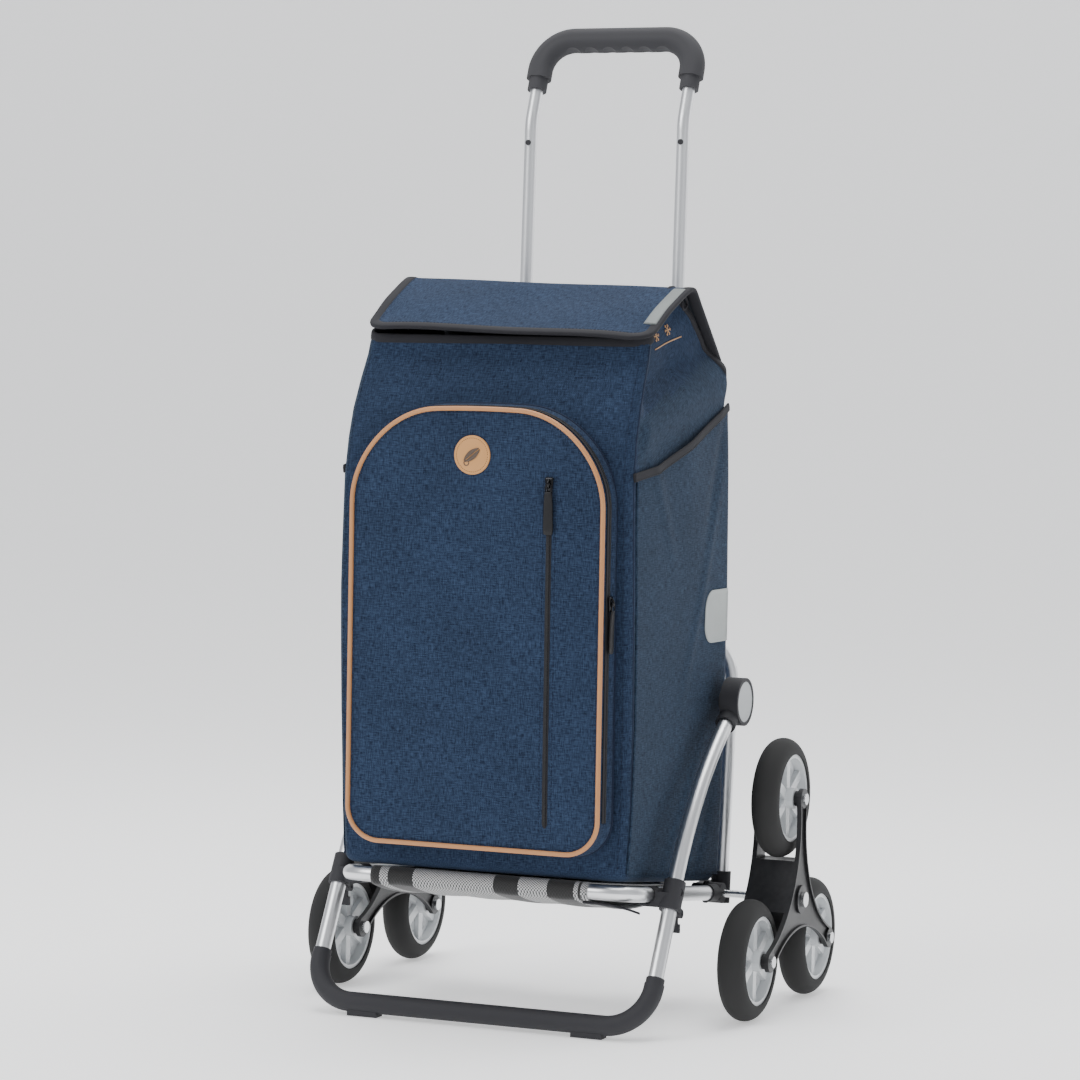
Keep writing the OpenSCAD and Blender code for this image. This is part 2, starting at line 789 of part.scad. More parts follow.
module platform_crossbar() {
    color("silver") placed() platform_frame()
        translate([0, platform_len - crossbar_at, 0]) across(-platform_x + tube_r, platform_x - tube_r, crossbar_r);
}

// Woven sling: sleeved on the front tube and on the crossbar
module sling() {
    fabric = 1.8;
    reach = platform_len - crossbar_at;
    color("#8a8c90") placed() platform_frame() difference() {
        union() {
            across(-sling_half, sling_half, tube_r + 0.3 + fabric);
            translate([0, reach, 0]) across(-sling_half, sling_half, crossbar_r + 0.3 + fabric);
            translate([-sling_half, 0, -fabric / 2]) cube([2 * sling_half, reach, fabric]);
        }
        across(-sling_half - 2, sling_half + 2, tube_r + 0.3);
        translate([0, reach, 0]) across(-sling_half - 2, sling_half + 2, crossbar_r + 0.3);
    }
}

// ---------- bag ----------

// Side view of the bag, drawn in by i; open_top carries it up through the mouth
module bag_side_view(i, open_top) {
    front = -bag_front + i;
    back = bag_back - i;
    slope = tan(platform_slope);
    rise = open_top ? 60 : 0;
    roof = lid_t + lid_gap;
    base = bag_bottom + i;
    corner = 14;
    back_base = base - (bag_front + bag_back) * slope + 10;
    translate([back - corner, back_base + corner]) circle(r = corner);
    polygon([
        [front, base],
        [front, bag_hem - 104],
        [front + 21, bag_hem - 16],
        [lid_front[0] + 3 + i, lid_front[1] - roof - 2 + rise],
        [-ridge_y, ridge_z - roof - 1 + rise],
        [lid_hinge[0] - 4 - i, lid_hinge[1] - roof + rise],
        [back, bag_shoulder],
        [back, back_base + corner],
        [back - corner, back_base]
    ]);
}

module bag_shape(i, open_top) {
    high = open_top ? 100 : 20;
    intersection() {
        across_body(bag_half + 10) bag_side_view(i, open_top);
        front_body(-bag_front - 10, bag_back + 10) polygon([
            [-bag_half + i, 0], [bag_half - i, 0], [bag_half - i, bag_shoulder],
            [bag_top_half - i, bag_hem], [bag_top_half - i, ridge_z + high],
            [-bag_top_half + i, ridge_z + high], [-bag_top_half + i, bag_hem], [-bag_half + i, bag_shoulder]
        ]);
        linear_extrude(ridge_z + high)
            soft_rect(bag_half - i, -bag_front + i, bag_back - i, 26 - i, 18 - i);
    }
}

module bag_body() {
    color("#25406b") placed() difference() {
        bag_shape(0, false);
        bag_shape(bag_wall, true);
    }
}

// Zipped pocket on the front, hollow behind its face
module front_pocket() {
    wall = 2.5;
    color("#25406b") placed() difference() {
        front_body(-pocket_front, -bag_front)
            soft_rect(pocket_half, pocket_bottom, pocket_top, 35, 100);
        front_body(-pocket_front + wall, -bag_front + 1)
            soft_rect(pocket_half - wall, pocket_bottom + wall, pocket_top - wall, 35 - wall, 100 - wall);
    }
}

// Open patch pockets on both sides with a sloping bound edge
module side_pockets() {
    t = 2;
    low = bag_bottom + 12;
    color("#1f365b") placed() both_sides() translate([bag_half, 0, 0]) rotate([90, 0, 90])
        linear_extrude(t) polygon(concat(pocket_edge, [[pocket_edge[3][0], low], [pocket_edge[0][0], low]]));
}

module zip_tapes() {
    half = 7;
    color("#111113") placed() {
        translate([front_zip_x - half, -pocket_front - 1, front_zip_bottom])
            cube([2 * half, 1, front_zip_top - front_zip_bottom]);
        translate([pocket_half, side_zip_y - 5, pocket_bottom + 60])
            cube([1, 10, pocket_top - pocket_bottom - 180]);
    }
}

module leather_badge() {
    color("#c58a4e") placed()
        translate([badge_at[0], -pocket_front, badge_at[1]]) rotate([90, 0, 0]) cylinder(h = 1.6, r = badge_r);
}

module reflectors() {
    long = 34;
    high = 56;
    color("#9aa09c") placed() both_sides()
        translate([bag_half + 2, bag_back - 22 - long, reflector_z - high / 2]) cube([1, long, high]);
}

// ---------- lid ----------

module lid_view(t) {
    polygon([
        lid_hinge, [-ridge_y, ridge_z], lid_front,
        lid_front + [1, -t], [-ridge_y, ridge_z - t - 0.4], lid_hinge + [-2.2, -t / 2]
    ]);
}

module lid_panel() {
    color("#25406b") placed() intersection() {
        across_body(lid_half) lid_view(lid_t);
        linear_extrude(ridge_z + 20) soft_rect(lid_half, lid_front[0], lid_hinge[0] + 40, 20, 10);
    }
}

module lid_binding() {
    w = 9;
    proud = 1.2;
    slope = atan2(ridge_z - lid_front[1], -ridge_y - lid_front[0]);
    color("#111113") placed() translate([0, lid_front[0], lid_front[1]]) rotate([slope, 0, 0])
        difference() {
            translate([0, 0, 0.1]) linear_extrude(proud)
                soft_rect(lid_half, -2, 118, 20, 1);
            translate([0, 0, -1]) linear_extrude(6)
                soft_rect(lid_half - w, w - 2, 130, 14, 1);
        }
}

// ---------- zip sliders ----------

// Slider with a bridge that holds its pull; drawn facing -Y about the middle of its face
module zip_slider() {
    translate([-4.5, -2.2, -7]) cube([9, 2, 16]);
    translate([-2, -4.2, -3]) cube([4, 2.2, 2]);
    translate([-2, -4.2, 4]) cube([4, 2.2, 2]);
    translate([-2, -5.2, -3]) cube([4, 1, 9]);
}

module zip_pull() {
    translate([0, -3.2, 1]) across(-3, 3, 0.8);
    for (x = [-4, 3]) translate([x, -4, -6]) cube([1, 1.6, 7.2]);
    translate([-5, -4, -pull_len]) cube([10, 1.6, pull_len - 6]);
}

module at_front_zip() {
    placed() translate([front_zip_x, -pocket_front - 1.1, front_zip_top - 14]) children();
}

module at_side_zip() {
    placed() translate([pocket_half + 1.1, side_zip_y, side_zip_z]) rotate([0, 0, 90]) children();
}

module front_zip_slider() {
    color("#111113") at_front_zip() zip_slider();
}

module front_zip_pull() {
    color("#111113") at_front_zip() zip_pull();
}

module side_zip_slider() {
    color("#111113") at_side_zip() zip_slider();
}

module side_zip_pull() {
    color("#111113") at_side_zip() zip_pull();
}

// ---------- nodes ----------

axle();
axle_fasteners();
uprights();
back_hoop();
cross_clamps();
axle_blocks();
hoop_brackets();
hinge_arms();
hinge_pins();
upright_collars();
clamp_lever(-1);  // clamp_lever_l
clamp_lever(1);  // clamp_lever_r
handle_tubes();
grip();
stop_button(-1);  // stop_button_l
stop_button(1);  // stop_button_r
stand_bow();
hinge_sockets();
hinge_caps();
foot_cover();
foot_pads();
clips();
clip_lever(-1);  // clip_lever_l
clip_lever(1);  // clip_lever_r
platform_tube();
platform_eyes();
platform_collars();
platform_crossbar();
sling();
bag_body();
front_pocket();
side_pockets();
zip_tapes();
leather_badge();
reflectors();
lid_panel();
lid_binding();
front_zip_slider();
front_zip_pull();
side_zip_slider();
side_zip_pull();
for (s = [-1, 1]) {
    tag = s < 0 ? "l" : "r";
    spider(s);
    spider_plate(s);
    spider_bolts(s);
    for (k = [0:2]) {
        tyre(s, k);
        rim(s, k);
    }
}
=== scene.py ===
"""Looks of a folding shopping trolley: fabric, straps, zips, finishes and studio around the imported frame."""

import json
import logging
from collections.abc import Callable
from dataclasses import dataclass, field
from enum import Enum

import bmesh
import bpy
import numpy as np
from mathutils import Matrix, Vector

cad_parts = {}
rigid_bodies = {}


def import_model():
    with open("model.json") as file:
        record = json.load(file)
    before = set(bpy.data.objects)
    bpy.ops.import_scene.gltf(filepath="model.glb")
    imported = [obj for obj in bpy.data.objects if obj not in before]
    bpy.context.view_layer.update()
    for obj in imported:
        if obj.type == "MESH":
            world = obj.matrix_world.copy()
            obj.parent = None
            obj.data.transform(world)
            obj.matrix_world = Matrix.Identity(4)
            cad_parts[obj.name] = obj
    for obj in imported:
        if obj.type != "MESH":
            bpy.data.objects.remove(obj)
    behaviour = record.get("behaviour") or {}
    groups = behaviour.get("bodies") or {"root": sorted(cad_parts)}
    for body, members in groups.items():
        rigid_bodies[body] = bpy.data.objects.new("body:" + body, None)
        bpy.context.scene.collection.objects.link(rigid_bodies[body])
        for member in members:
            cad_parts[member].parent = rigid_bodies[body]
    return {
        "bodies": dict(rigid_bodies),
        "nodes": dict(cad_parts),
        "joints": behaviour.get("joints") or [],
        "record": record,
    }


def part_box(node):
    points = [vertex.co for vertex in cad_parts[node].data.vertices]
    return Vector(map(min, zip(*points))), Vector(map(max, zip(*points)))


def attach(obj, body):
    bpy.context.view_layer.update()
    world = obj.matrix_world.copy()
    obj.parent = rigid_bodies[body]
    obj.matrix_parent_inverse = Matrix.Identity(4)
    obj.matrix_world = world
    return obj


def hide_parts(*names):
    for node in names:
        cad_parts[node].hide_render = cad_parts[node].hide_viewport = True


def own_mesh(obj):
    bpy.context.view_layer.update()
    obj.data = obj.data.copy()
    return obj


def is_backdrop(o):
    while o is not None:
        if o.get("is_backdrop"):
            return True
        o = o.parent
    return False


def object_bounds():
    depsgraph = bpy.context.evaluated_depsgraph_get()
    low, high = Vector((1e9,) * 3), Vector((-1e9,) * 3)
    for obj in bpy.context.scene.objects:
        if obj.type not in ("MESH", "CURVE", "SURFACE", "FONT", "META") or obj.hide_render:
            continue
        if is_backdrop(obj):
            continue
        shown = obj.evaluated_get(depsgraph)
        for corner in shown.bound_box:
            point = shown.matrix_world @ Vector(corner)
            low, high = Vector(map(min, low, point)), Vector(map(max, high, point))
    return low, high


MM = 0.001
LOG = logging.getLogger("trolley")
Array = np.ndarray


# ---------- shapes as arrays ----------


def smoothstep(low: float, high: float, value: Array) -> Array:
    """Rises from 0 at low to 1 at high as 3t^2 - 2t^3.

    Args:
        low: where the rise starts.
        high: where it ends.
        value: the numbers to map.

    Returns:
        The mapped numbers, from 0 to 1.
    """
    t = np.clip((value - low) / (high - low), 0.0, 1.0)
    return t * t * (3.0 - 2.0 * t)


def through(points: Array, count: int, closed: bool = False) -> Array:
    """Even points on a Catmull-Rom curve through the given ones.

    Each span is the cubic whose end slopes are half the chord between the neighbours;
    the dense curve is then resampled at equal steps of its own length.

    Args:
        points: (n, d) points to pass through.
        count: how many points come back.
        closed: whether the curve returns to its first point.

    Returns:
        (count, d) points; a closed curve doesn't repeat its first one.
    """
    p = np.asarray(points, float)
    ends = (p[-1:], p[:2]) if closed else (2 * p[:1] - p[1:2], 2 * p[-1:] - p[-2:-1])
    q = np.concatenate([ends[0], p, ends[1]])
    spans = len(q) - 3
    t = np.linspace(0, 1, 40, endpoint=False)[None, :, None]
    a, b, c, d = (q[i : i + spans, None, :] for i in range(4))
    cubic = 0.5 * (
        2 * b + (c - a) * t + (2 * a - 5 * b + 4 * c - d) * t**2 + (3 * b - a - 3 * c + d) * t**3
    )
    dense = np.concatenate([cubic.reshape(-1, p.shape[1]), p[:1] if closed else p[-1:]])
    return even(dense, count, closed)


def even(dense: Array, count: int, closed: bool = False) -> Array:
    """Resamples a polyline at equal steps of its length.

    Args:
        dense: (n, d) points; a closed line repeats its first point at the end.
        count: how many points come back.
        closed: leaves out the repeated last point.

    Returns:
        (count, d) points.
    """
    step = np.linalg.norm(np.diff(dense, axis=0), axis=1)
    at = np.concatenate([[0.0], np.cumsum(step)])
    want = np.linspace(0, at[-1], count, endpoint=not closed)
    return np.stack([np.interp(want, at, dense[:, k]) for k in range(dense.shape[1])], axis=1)


def rounded_box_line(
    half: float, low: float, high: float, r_low: float, r_high: float, count: int
) -> Array:
    """Closed outline of an upright rectangle with its own corner radius at the bottom and the top.

    Straight sides join quarter circles; it runs from the middle of the bottom edge to +X and up.

    Args:
        half: half the width.
        low: bottom height.
        high: top height.
        r_low: bottom corner radius.
        r_high: top corner radius.
        count: number of points.

    Returns:
        (count, 2) points as (x, z).
    """
    turn = np.linspace(0, np.pi / 2, 24)
    corners = []
    for cx, cz, r, start in (
        (half - r_low, low + r_low, r_low, -np.pi / 2),
        (half - r_high, high - r_high, r_high, 0.0),
        (-half + r_high, high - r_high, r_high, np.pi / 2),
        (-half + r_low, low + r_low, r_low, np.pi),
    ):
        corners.append(np.stack([cx + r * np.cos(start + turn), cz + r * np.sin(start + turn)], axis=1))
    start = np.array([[0.0, low]])
    return even(np.concatenate([start, *corners, start]), count, closed=True)


def normalised(v: Array) -> Array:
    """Unit vectors along the last axis."""
    return v / np.maximum(np.linalg.norm(v, axis=-1, keepdims=True), 1e-12)


def tangents(path: Array, closed: bool) -> Array:
    """Unit directions along a line of points, as central differences.

    Args:
        path: (n, 3) points.
        closed: whether the line joins up.

    Returns:
        (n, 3) unit vectors.
    """
    if closed:
        return normalised(np.roll(path, -1, axis=0) - np.roll(path, 1, axis=0))
    return normalised(np.gradient(path, axis=0))


class Mesher:
    """Turns arrays of points into mesh objects."""

    @staticmethod
    def make(
        name: str, points: Array, faces: list, uv: Array | None = None, smooth: bool = True
    ) -> bpy.types.Object:
        """Mesh object from points and faces.

        Args:
            name: object name.
            points: (n, 3) points in metres.
            faces: lists of point numbers.
            uv: (n, 2) pattern coordinates in metres, one for each point.
            smooth: shade smoothly.

        Returns:
            The new object, at the origin.
        """
        mesh = bpy.data.meshes.new(name)
        mesh.from_pydata(points, [], faces)
        if uv is not None:
            layer = mesh.uv_layers.new(name="cloth")
            corner = np.empty(len(mesh.loops), np.int32)
            mesh.loops.foreach_get("vertex_index", corner)
            layer.data.foreach_set("uv", uv[corner].astype(np.float32).ravel())
        mesh.polygons.foreach_set("use_smooth", np.full(len(mesh.polygons), smooth))
        mesh.update()
        made = bpy.data.objects.new(name, mesh)
        bpy.context.scene.collection.objects.link(made)
        return made

    @staticmethod
    def grid(
        name: str,
        points: Array,
        around: bool = False,
        caps: tuple = (),
        flip: bool = False,
        uv: Array | None = None,
    ) -> bpy.types.Object:
        """Surface through a grid of points: rows run along the first axis.

        Args:
            name: object name.
            points: (rows, columns, 3) points.
            around: join the last column to the first.
            caps: rows, 0 or -1, that are closed with one face.
            flip: turn the faces over.
            uv: (rows, columns, 2) pattern coordinates.

        Returns:
            The new object.
        """
        rows, cols = points.shape[:2]
        number = np.arange(rows * cols).reshape(rows, cols)
        right = np.roll(number, -1, axis=1) if around else number[:, 1:]
        left = number if around else number[:, :-1]
        quads = np.stack([left[:-1], right[:-1], right[1:], left[1:]], axis=-1).reshape(-1, 4)
        if flip:
            quads = quads[:, ::-1]
        faces = quads.tolist()
        for row in caps:
            ring = number[row][:: (-1 if (row == 0) != flip else 1)]
            faces.append(ring.tolist())
        flat_uv = None if uv is None else uv.reshape(-1, 2)
        return Mesher.make(name, points.reshape(-1, 3), faces, flat_uv)

    @staticmethod
    def sweep(
        name: str,
        path: Array,
        facing: Array,
        half_wide: float,
        half_thick: float,
        closed: bool = False,
        power: float = 1.0,
        sides: int = 12,
    ) -> bpy.types.Object:
        """Band or cord: a superellipse carried along a line.

        At each point the section is side * w * cos^p + facing * t * sin^p, where side is the
        direction square to the line and to the surface it lies on.

        Args:
            name: object name.
            path: (n, 3) centre line.
            facing: (3,) or (n, 3) directions away from the surface underneath.
            half_wide: half the width along the surface.
            half_thick: half the thickness away from it.
            closed: whether the line joins up.
            power: 1 for an ellipse, less for a fuller section.
            sides: points round the section.

        Returns:
            The new object.
        """
        along = tangents(path, closed)
        out = np.broadcast_to(np.asarray(facing, float), path.shape)
        side = normalised(np.cross(along, out))
        out = normalised(np.cross(side, along))
        a = np.linspace(0, 2 * np.pi, sides, endpoint=False)
        c = np.sign(np.cos(a)) * np.abs(np.cos(a)) ** power * half_wide
        s = np.sign(np.sin(a)) * np.abs(np.sin(a)) ** power * half_thick
        points = path[:, None] + side[:, None] * c[None, :, None] + out[:, None] * s[None, :, None]
        run = np.concatenate([[0], np.cumsum(np.linalg.norm(np.diff(path, axis=0), axis=1))])
        uv = np.stack(np.broadcast_arrays(run[:, None], (a * max(half_wide, half_thick))[None]), axis=-1)
        if closed:
            points = np.concatenate([points, points[:1]])
            uv = np.concatenate([uv, uv[:1]])
            made = Mesher.grid(name, points, around=True, flip=True, uv=uv)
            Mesher.merge(made)
            return made
        return Mesher.grid(name, points, around=True, caps=(0, -1), flip=True, uv=uv)

    @staticmethod
    def merge(made: bpy.types.Object) -> None:
        """Joins points that coincide.

        Args:
            made: object whose mesh is cleaned.
        """
        bm = bmesh.new()
        bm.from_mesh(made.data)
        bmesh.ops.remove_doubles(bm, verts=bm.verts, dist=1e-6)
        bmesh.ops.recalc_face_normals(bm, faces=bm.faces)
        bm.to_mesh(made.data)
        bm.free()

    @staticmethod
    def stitches(
        name: str, path: Array, facing: Array, pitch: float, length: float, r: float
    ) -> bpy.types.Object:
        """Row of thread stitches along a line: short spindles with six sides.

        Stitch i is centred at (i + 1/2) pitches; its radius follows 0.35, 1, 1, 0.35 from end to end
        and its ends dip towards the cloth.

        Args:
            name: object name.
            path: (n, 3) line on the cloth.
            facing: (3,) direction away from the cloth.
            pitch: distance between stitches.
            length: length of a stitch.
            r: thread radius.

        Returns:
            The new object.
        """
        step = np.concatenate([[0], np.cumsum(np.linalg.norm(np.diff(path, axis=0), axis=1))])
        count = max(int(step[-1] / pitch), 1)
        rings = np.array([-0.5, -0.3, 0.3, 0.5])
        fat = np.array([0.35, 1.0, 1.0, 0.35])
        dip = np.array([-0.9, 0.35, 0.35, -0.9]) * r
        where = (np.arange(count)[:, None] + 0.5) * pitch + rings[None] * length
        centre = np.stack([np.interp(where, step, path[:, k]) for k in range(3)], axis=-1)
        along = normalised(centre[:, -1:] - centre[:, :1])
        out = np.broadcast_to(np.asarray(facing, float), along.shape)
        side = normalised(np.cross(along, out))
        centre = centre + out * dip[None, :, None]
        a = np.linspace(0, 2 * np.pi, 6, endpoint=False)
        cos, sin = (f(a)[None, None, :, None] for f in (np.cos, np.sin))
        ring = side[:, :, None] * cos + out[:, :, None] * sin
        points = centre[:, :, None] + ring * (r * fat)[None, :, None, None]
        base = np.arange(count)[:, None, None, None] * 24
        k = np.arange(3)[None, :, None, None] * 6
        j = np.arange(6)[None, None, :, None]
        n = (np.arange(6)[None, None, :, None] + 1) % 6
        quads = np.concatenate([base + k + j, base + k + 6 + j, base + k + 6 + n, base + k + n], axis=-1)
        ends = np.arange(count)[:, None] * 24
        first = ends + np.arange(6)[None]
        last = ends + 18 + np.arange(6)[None, ::-1]
        faces = quads.reshape(-1, 4).tolist() + first.tolist() + last.tolist()
        return Mesher.make(name, points.reshape(-1, 3), faces)

    @staticmethod
    def thicken(made: bpy.types.Object, thickness: float, offset: float = -1.0) -> None:
        """Gives a sheet its wall with a Solidify modifier.

        Args:
            made: the sheet.
            thickness: wall in metres.
            offset: -1 grows behind the faces, 1 in front of them.
        """
        wall = made.modifiers.new("wall", "SOLIDIFY")
        wall.thickness = thickness
        wall.offset = offset
        wall.use_even_offset = True


# ---------- finishes ----------


class Nodes:
    """Short calls for building a node tree."""

    def __init__(self, tree: bpy.types.NodeTree) -> None:
        """Keeps the tree that is built."""
        self.tree = tree

    def add(self, kind: str, values: dict | None = None, **settings: object) -> bpy.types.Node:
        """Adds a node.

        Args:
            kind: node type, without the ShaderNode prefix.
            values: socket name or number to a constant or to another node's output socket.
            **settings: attributes of the node.

        Returns:
            The new node.
        """
        node = self.tree.nodes.new(kind if kind.startswith("Node") else "ShaderNode" + kind)
        for name, value in settings.items():
            setattr(node, name, value)
        for key, value in (values or {}).items():
            if isinstance(value, bpy.types.NodeSocket):
                self.tree.links.new(value, node.inputs[key])
            else:
                node.inputs[key].default_value = value
        return node

    def ramp(self, fac: bpy.types.NodeSocket, stops: list, step: bool = False) -> bpy.types.NodeSocket:
        """Colour ramp.

        Args:
            fac: what it reads.
            stops: (place, colour) pairs; a number stands for a grey.
            step: hard edges between the colours.

        Returns:
            Its colour output.
        """
        node = self.add("ValToRGB", {"Fac": fac})
        band = node.color_ramp
        band.interpolation = "CONSTANT" if step else "LINEAR"
        for i, (place, colour) in enumerate(stops):
            element = band.elements[i] if i < 2 else band.elements.new(place)
            element.position = place
            element.color = (*colour, 1.0) if isinstance(colour, tuple) else (colour, colour, colour, 1.0)
        return node.outputs["Color"]

    def blend(self, fac: object, a: object, b: object, kind: str = "MIX") -> bpy.types.NodeSocket:
        """Mix of two colours.

        Args:
            fac: share of b.
            a: first colour or socket.
            b: second colour or socket.
            kind: blend type.

        Returns:
            The mixed colour output.
        """
        node = self.add("Mix", data_type="RGBA", blend_type=kind)
        for key, value in ((0, fac), (6, a), (7, b)):
            if isinstance(value, bpy.types.NodeSocket):
                self.tree.links.new(value, node.inputs[key])
            else:
                node.inputs[key].default_value = (*value, 1.0) if isinstance(value, tuple) else value
        return node.outputs[2]

    def maths(self, kind: str, a: object, b: object = 0.5, clamp: bool = False) -> bpy.types.NodeSocket:
        """Math node on two values.

        Args:
            kind: operation.
            a: first value or socket.
            b: second value or socket.
            clamp: keep the result between 0 and 1.

        Returns:
            The result's socket.
        """
        return self.add("Math", {0: a, 1: b}, operation=kind, use_clamp=clamp).outputs[0]


class Effects:
    """Shader node groups that several finishes share, each built once."""

    _made: dict = {}

    @classmethod
    def get(cls, name: str) -> bpy.types.NodeTree:
        """The group of that name.

        Args:
            name: weave, grain, brushed or wear.

        Returns:
            The node group.
        """
        if name not in cls._made:
            cls._made[name] = getattr(cls, "_" + name)()
        return cls._made[name]

    @staticmethod
    def _start(name: str, inputs: dict, outputs: dict) -> tuple:
        """Empty group with named sockets.

        Args:
            name: group name.
            inputs: socket name to (type, default).
            outputs: socket name to type.

        Returns:
            The group, its Nodes helper, its input node and its output node.
        """
        tree = bpy.data.node_groups.new(name, "ShaderNodeTree")
        for key, (kind, default) in inputs.items():
            socket = tree.interface.new_socket(key, in_out="INPUT", socket_type="NodeSocket" + kind)
            if default is not None:
                socket.default_value = default
        for key, kind in outputs.items():
            tree.interface.new_socket(key, in_out="OUTPUT", socket_type="NodeSocket" + kind)
        n = Nodes(tree)
        return tree, n, n.add("NodeGroupInput"), n.add("NodeGroupOutput")

    @classmethod
    def _weave(cls) -> bpy.types.NodeTree:
        """Flecked two-tone weave: slubs drawn out along both threads, over a plain weave's height."""
        tree, n, give, out = cls._start(
            "weave",
            {"Vector": ("Vector", None), "Pitch": ("Float", 1600.0), "Fleck": ("Float", 1.0)},
            {"Fleck": "Float", "Height": "Float", "Cloud": "Float"},
        )
        flecks = []
        for scale in ((1.0, 0.13, 1.0), (0.13, 1.0, 1.0)):
            drawn = n.add("VectorMath", {0: give.outputs["Vector"], 1: scale}, operation="MULTIPLY")
            slub = n.add(
                "TexNoise", {"Vector": drawn.outputs[0], "Scale": 900.0, "Detail": 2.5, "Roughness": 0.65}
            )
            flecks.append(slub.outputs["Fac"])
        both = n.maths("ADD", flecks[0], flecks[1])
        sharp = n.add("MapRange", {"Value": both, "From Min": 0.78, "From Max": 1.24})
        tree.links.new(n.maths("MULTIPLY", sharp.outputs[0], give.outputs["Fleck"]), out.inputs["Fleck"])
        split = n.add("SeparateXYZ", {"Vector": give.outputs["Vector"]})
        waves = []
        for axis in ("X", "Y"):
            turn = n.maths("MULTIPLY", split.outputs[axis], give.outputs["Pitch"])
            waves.append(n.maths("SINE", turn))
        tree.links.new(n.maths("MULTIPLY", waves[0], waves[1]), out.inputs["Height"])
        cloud = n.add("TexNoise", {"Vector": give.outputs["Vector"], "Scale": 14.0, "Detail": 4.0})
        tree.links.new(cloud.outputs["Fac"], out.inputs["Cloud"])
        return tree

    @classmethod
    def _grain(cls) -> bpy.types.NodeTree:
        """Moulded grain: fine cells and a slow change of gloss."""
        tree, n, give, out = cls._start(
            "grain", {
                "Vector": ("Vector", None), "Scale": ("Float", 900.0)
            }, {"Height": "Float", "Cloud": "Float"}
        )
        cell = n.add("TexVoronoi", {"Vector": give.outputs["Vector"], "Scale": give.outputs["Scale"]})
        fine = n.add("TexNoise", {"Vector": give.outputs["Vector"], "Scale": 2600.0, "Detail": 2.0})
        tree.links.new(n.maths("ADD", cell.outputs["Distance"], fine.outputs["Fac"]), out.inputs["Height"])
        cloud = n.add("TexNoise", {"Vector": give.outputs["Vector"], "Scale": 22.0, "Detail": 5.0})
        tree.links.new(cloud.outputs["Fac"], out.inputs["Cloud"])
        return tree

    @classmethod
    def _brushed(cls) -> bpy.types.NodeTree:
        """Drawn tube: hairlines that run up the tube, and faint smudges."""
        tree, n, give, out = cls._start(
            "brushed", {
                "Vector": ("Vector", None), "Draw": ("Vector", (1.0, 1.0, 0.02))
            }, {"Line": "Float", "Cloud": "Float"}
        )
        drawn = n.add(
            "VectorMath", {0: give.outputs["Vector"], 1: give.outputs["Draw"]}, operation="MULTIPLY"
        )
        line = n.add(
            "TexNoise", {"Vector": drawn.outputs[0], "Scale": 1500.0, "Detail": 3.0, "Roughness": 0.6}
        )
        tree.links.new(line.outputs["Fac"], out.inputs["Line"])
        cloud = n.add("TexNoise", {"Vector": give.outputs["Vector"], "Scale": 9.0, "Detail": 5.0})
        tree.links.new(cloud.outputs["Fac"], out.inputs["Cloud"])
        return tree

    @classmethod
    def _wear(cls) -> bpy.types.NodeTree:
        """Paler, rubbed edges: pointiness broken up by noise, and dust that settles low down."""
        tree, n, give, out = cls._start(
            "wear", {
                "Vector": ("Vector", None), "Low": ("Float", 0.0), "High": ("Float", 0.12)
            }, {"Edge": "Float", "Dust": "Float"}
        )
        point = n.add("NewGeometry").outputs["Pointiness"]
        edge = n.add("MapRange", {"Value": point, "From Min": 0.52, "From Max": 0.62})
        spots = n.add("TexNoise", {"Vector": give.outputs["Vector"], "Scale": 160.0, "Detail": 5.0})
        tree.links.new(
            n.maths("MULTIPLY", edge.outputs[0], spots.outputs["Fac"], clamp=True), out.inputs["Edge"]
        )
        height = n.add("SeparateXYZ", {"Vector": give.outputs["Vector"]}).outputs["Z"]
        low = n.add(
            "MapRange", {"Value": height, "From Min": give.outputs["High"], "From Max": give.outputs["Low"]}
        )
        tree.links.new(
            n.maths("MULTIPLY", low.outputs[0], spots.outputs["Fac"], clamp=True), out.inputs["Dust"]
        )
        return tree


class Space(Enum):
    """Where a pattern is read."""

    OBJECT = "Object"
    CLOTH = "UV"


@dataclass(frozen=True)
class Finish:
    """What every finish has: a name and a way to make its material."""

    name: str
    space: Space = Space.OBJECT

    def material(self) -> bpy.types.Material:
        """The material, made on first use.

        Returns:
            The Blender material of this finish.
        """
        found = bpy.data.materials.get(self.name)
        if found is not None:
            return found
        made = bpy.data.materials.new(self.name)
        made.use_nodes = True
        made.node_tree.nodes.clear()
        n = Nodes(made.node_tree)
        shader = n.add("BsdfPrincipled")
        n.add("OutputMaterial", {"Surface": shader.outputs["BSDF"]})
        self.build(n, shader, n.add("TexCoord").outputs[self.space.value])
        return made

    def build(self, n: Nodes, shader: bpy.types.Node, where: bpy.types.NodeSocket) -> None:
        """Fills in the material; each finish has its own.

        Args:
            n: node helper.
            shader: the Principled shader.
            where: the pattern's coordinates.
        """
        raise NotImplementedError

    def group(self, n: Nodes, name: str, where: bpy.types.NodeSocket, **values: object) -> bpy.types.Node:
        """Places a shared group.

        Args:
            n: node helper.
            name: group name.
            where: the pattern's coordinates.
            **values: the group's other inputs.

        Returns:
            The group node.
        """
        node = n.add("Group", node_tree=Effects.get(name))
        n.tree.links.new(where, node.inputs["Vector"])
        for key, value in values.items():
            node.inputs[key].default_value = value
        return node

    def bump(
        self, n: Nodes, shader: bpy.types.Node, height: bpy.types.NodeSocket, strength: float, depth: float
    ) -> None:
        """Joins a height to the shader's normal.

        Args:
            n: node helper.
            shader: the Principled shader.
            height: the height socket.
            strength: how much of it shows.
            depth: metres for one unit of height.
        """
        node = n.add("Bump", {"Height": height, "Strength": strength, "Distance": depth})
        n.tree.links.new(node.outputs["Normal"], shader.inputs["Normal"])


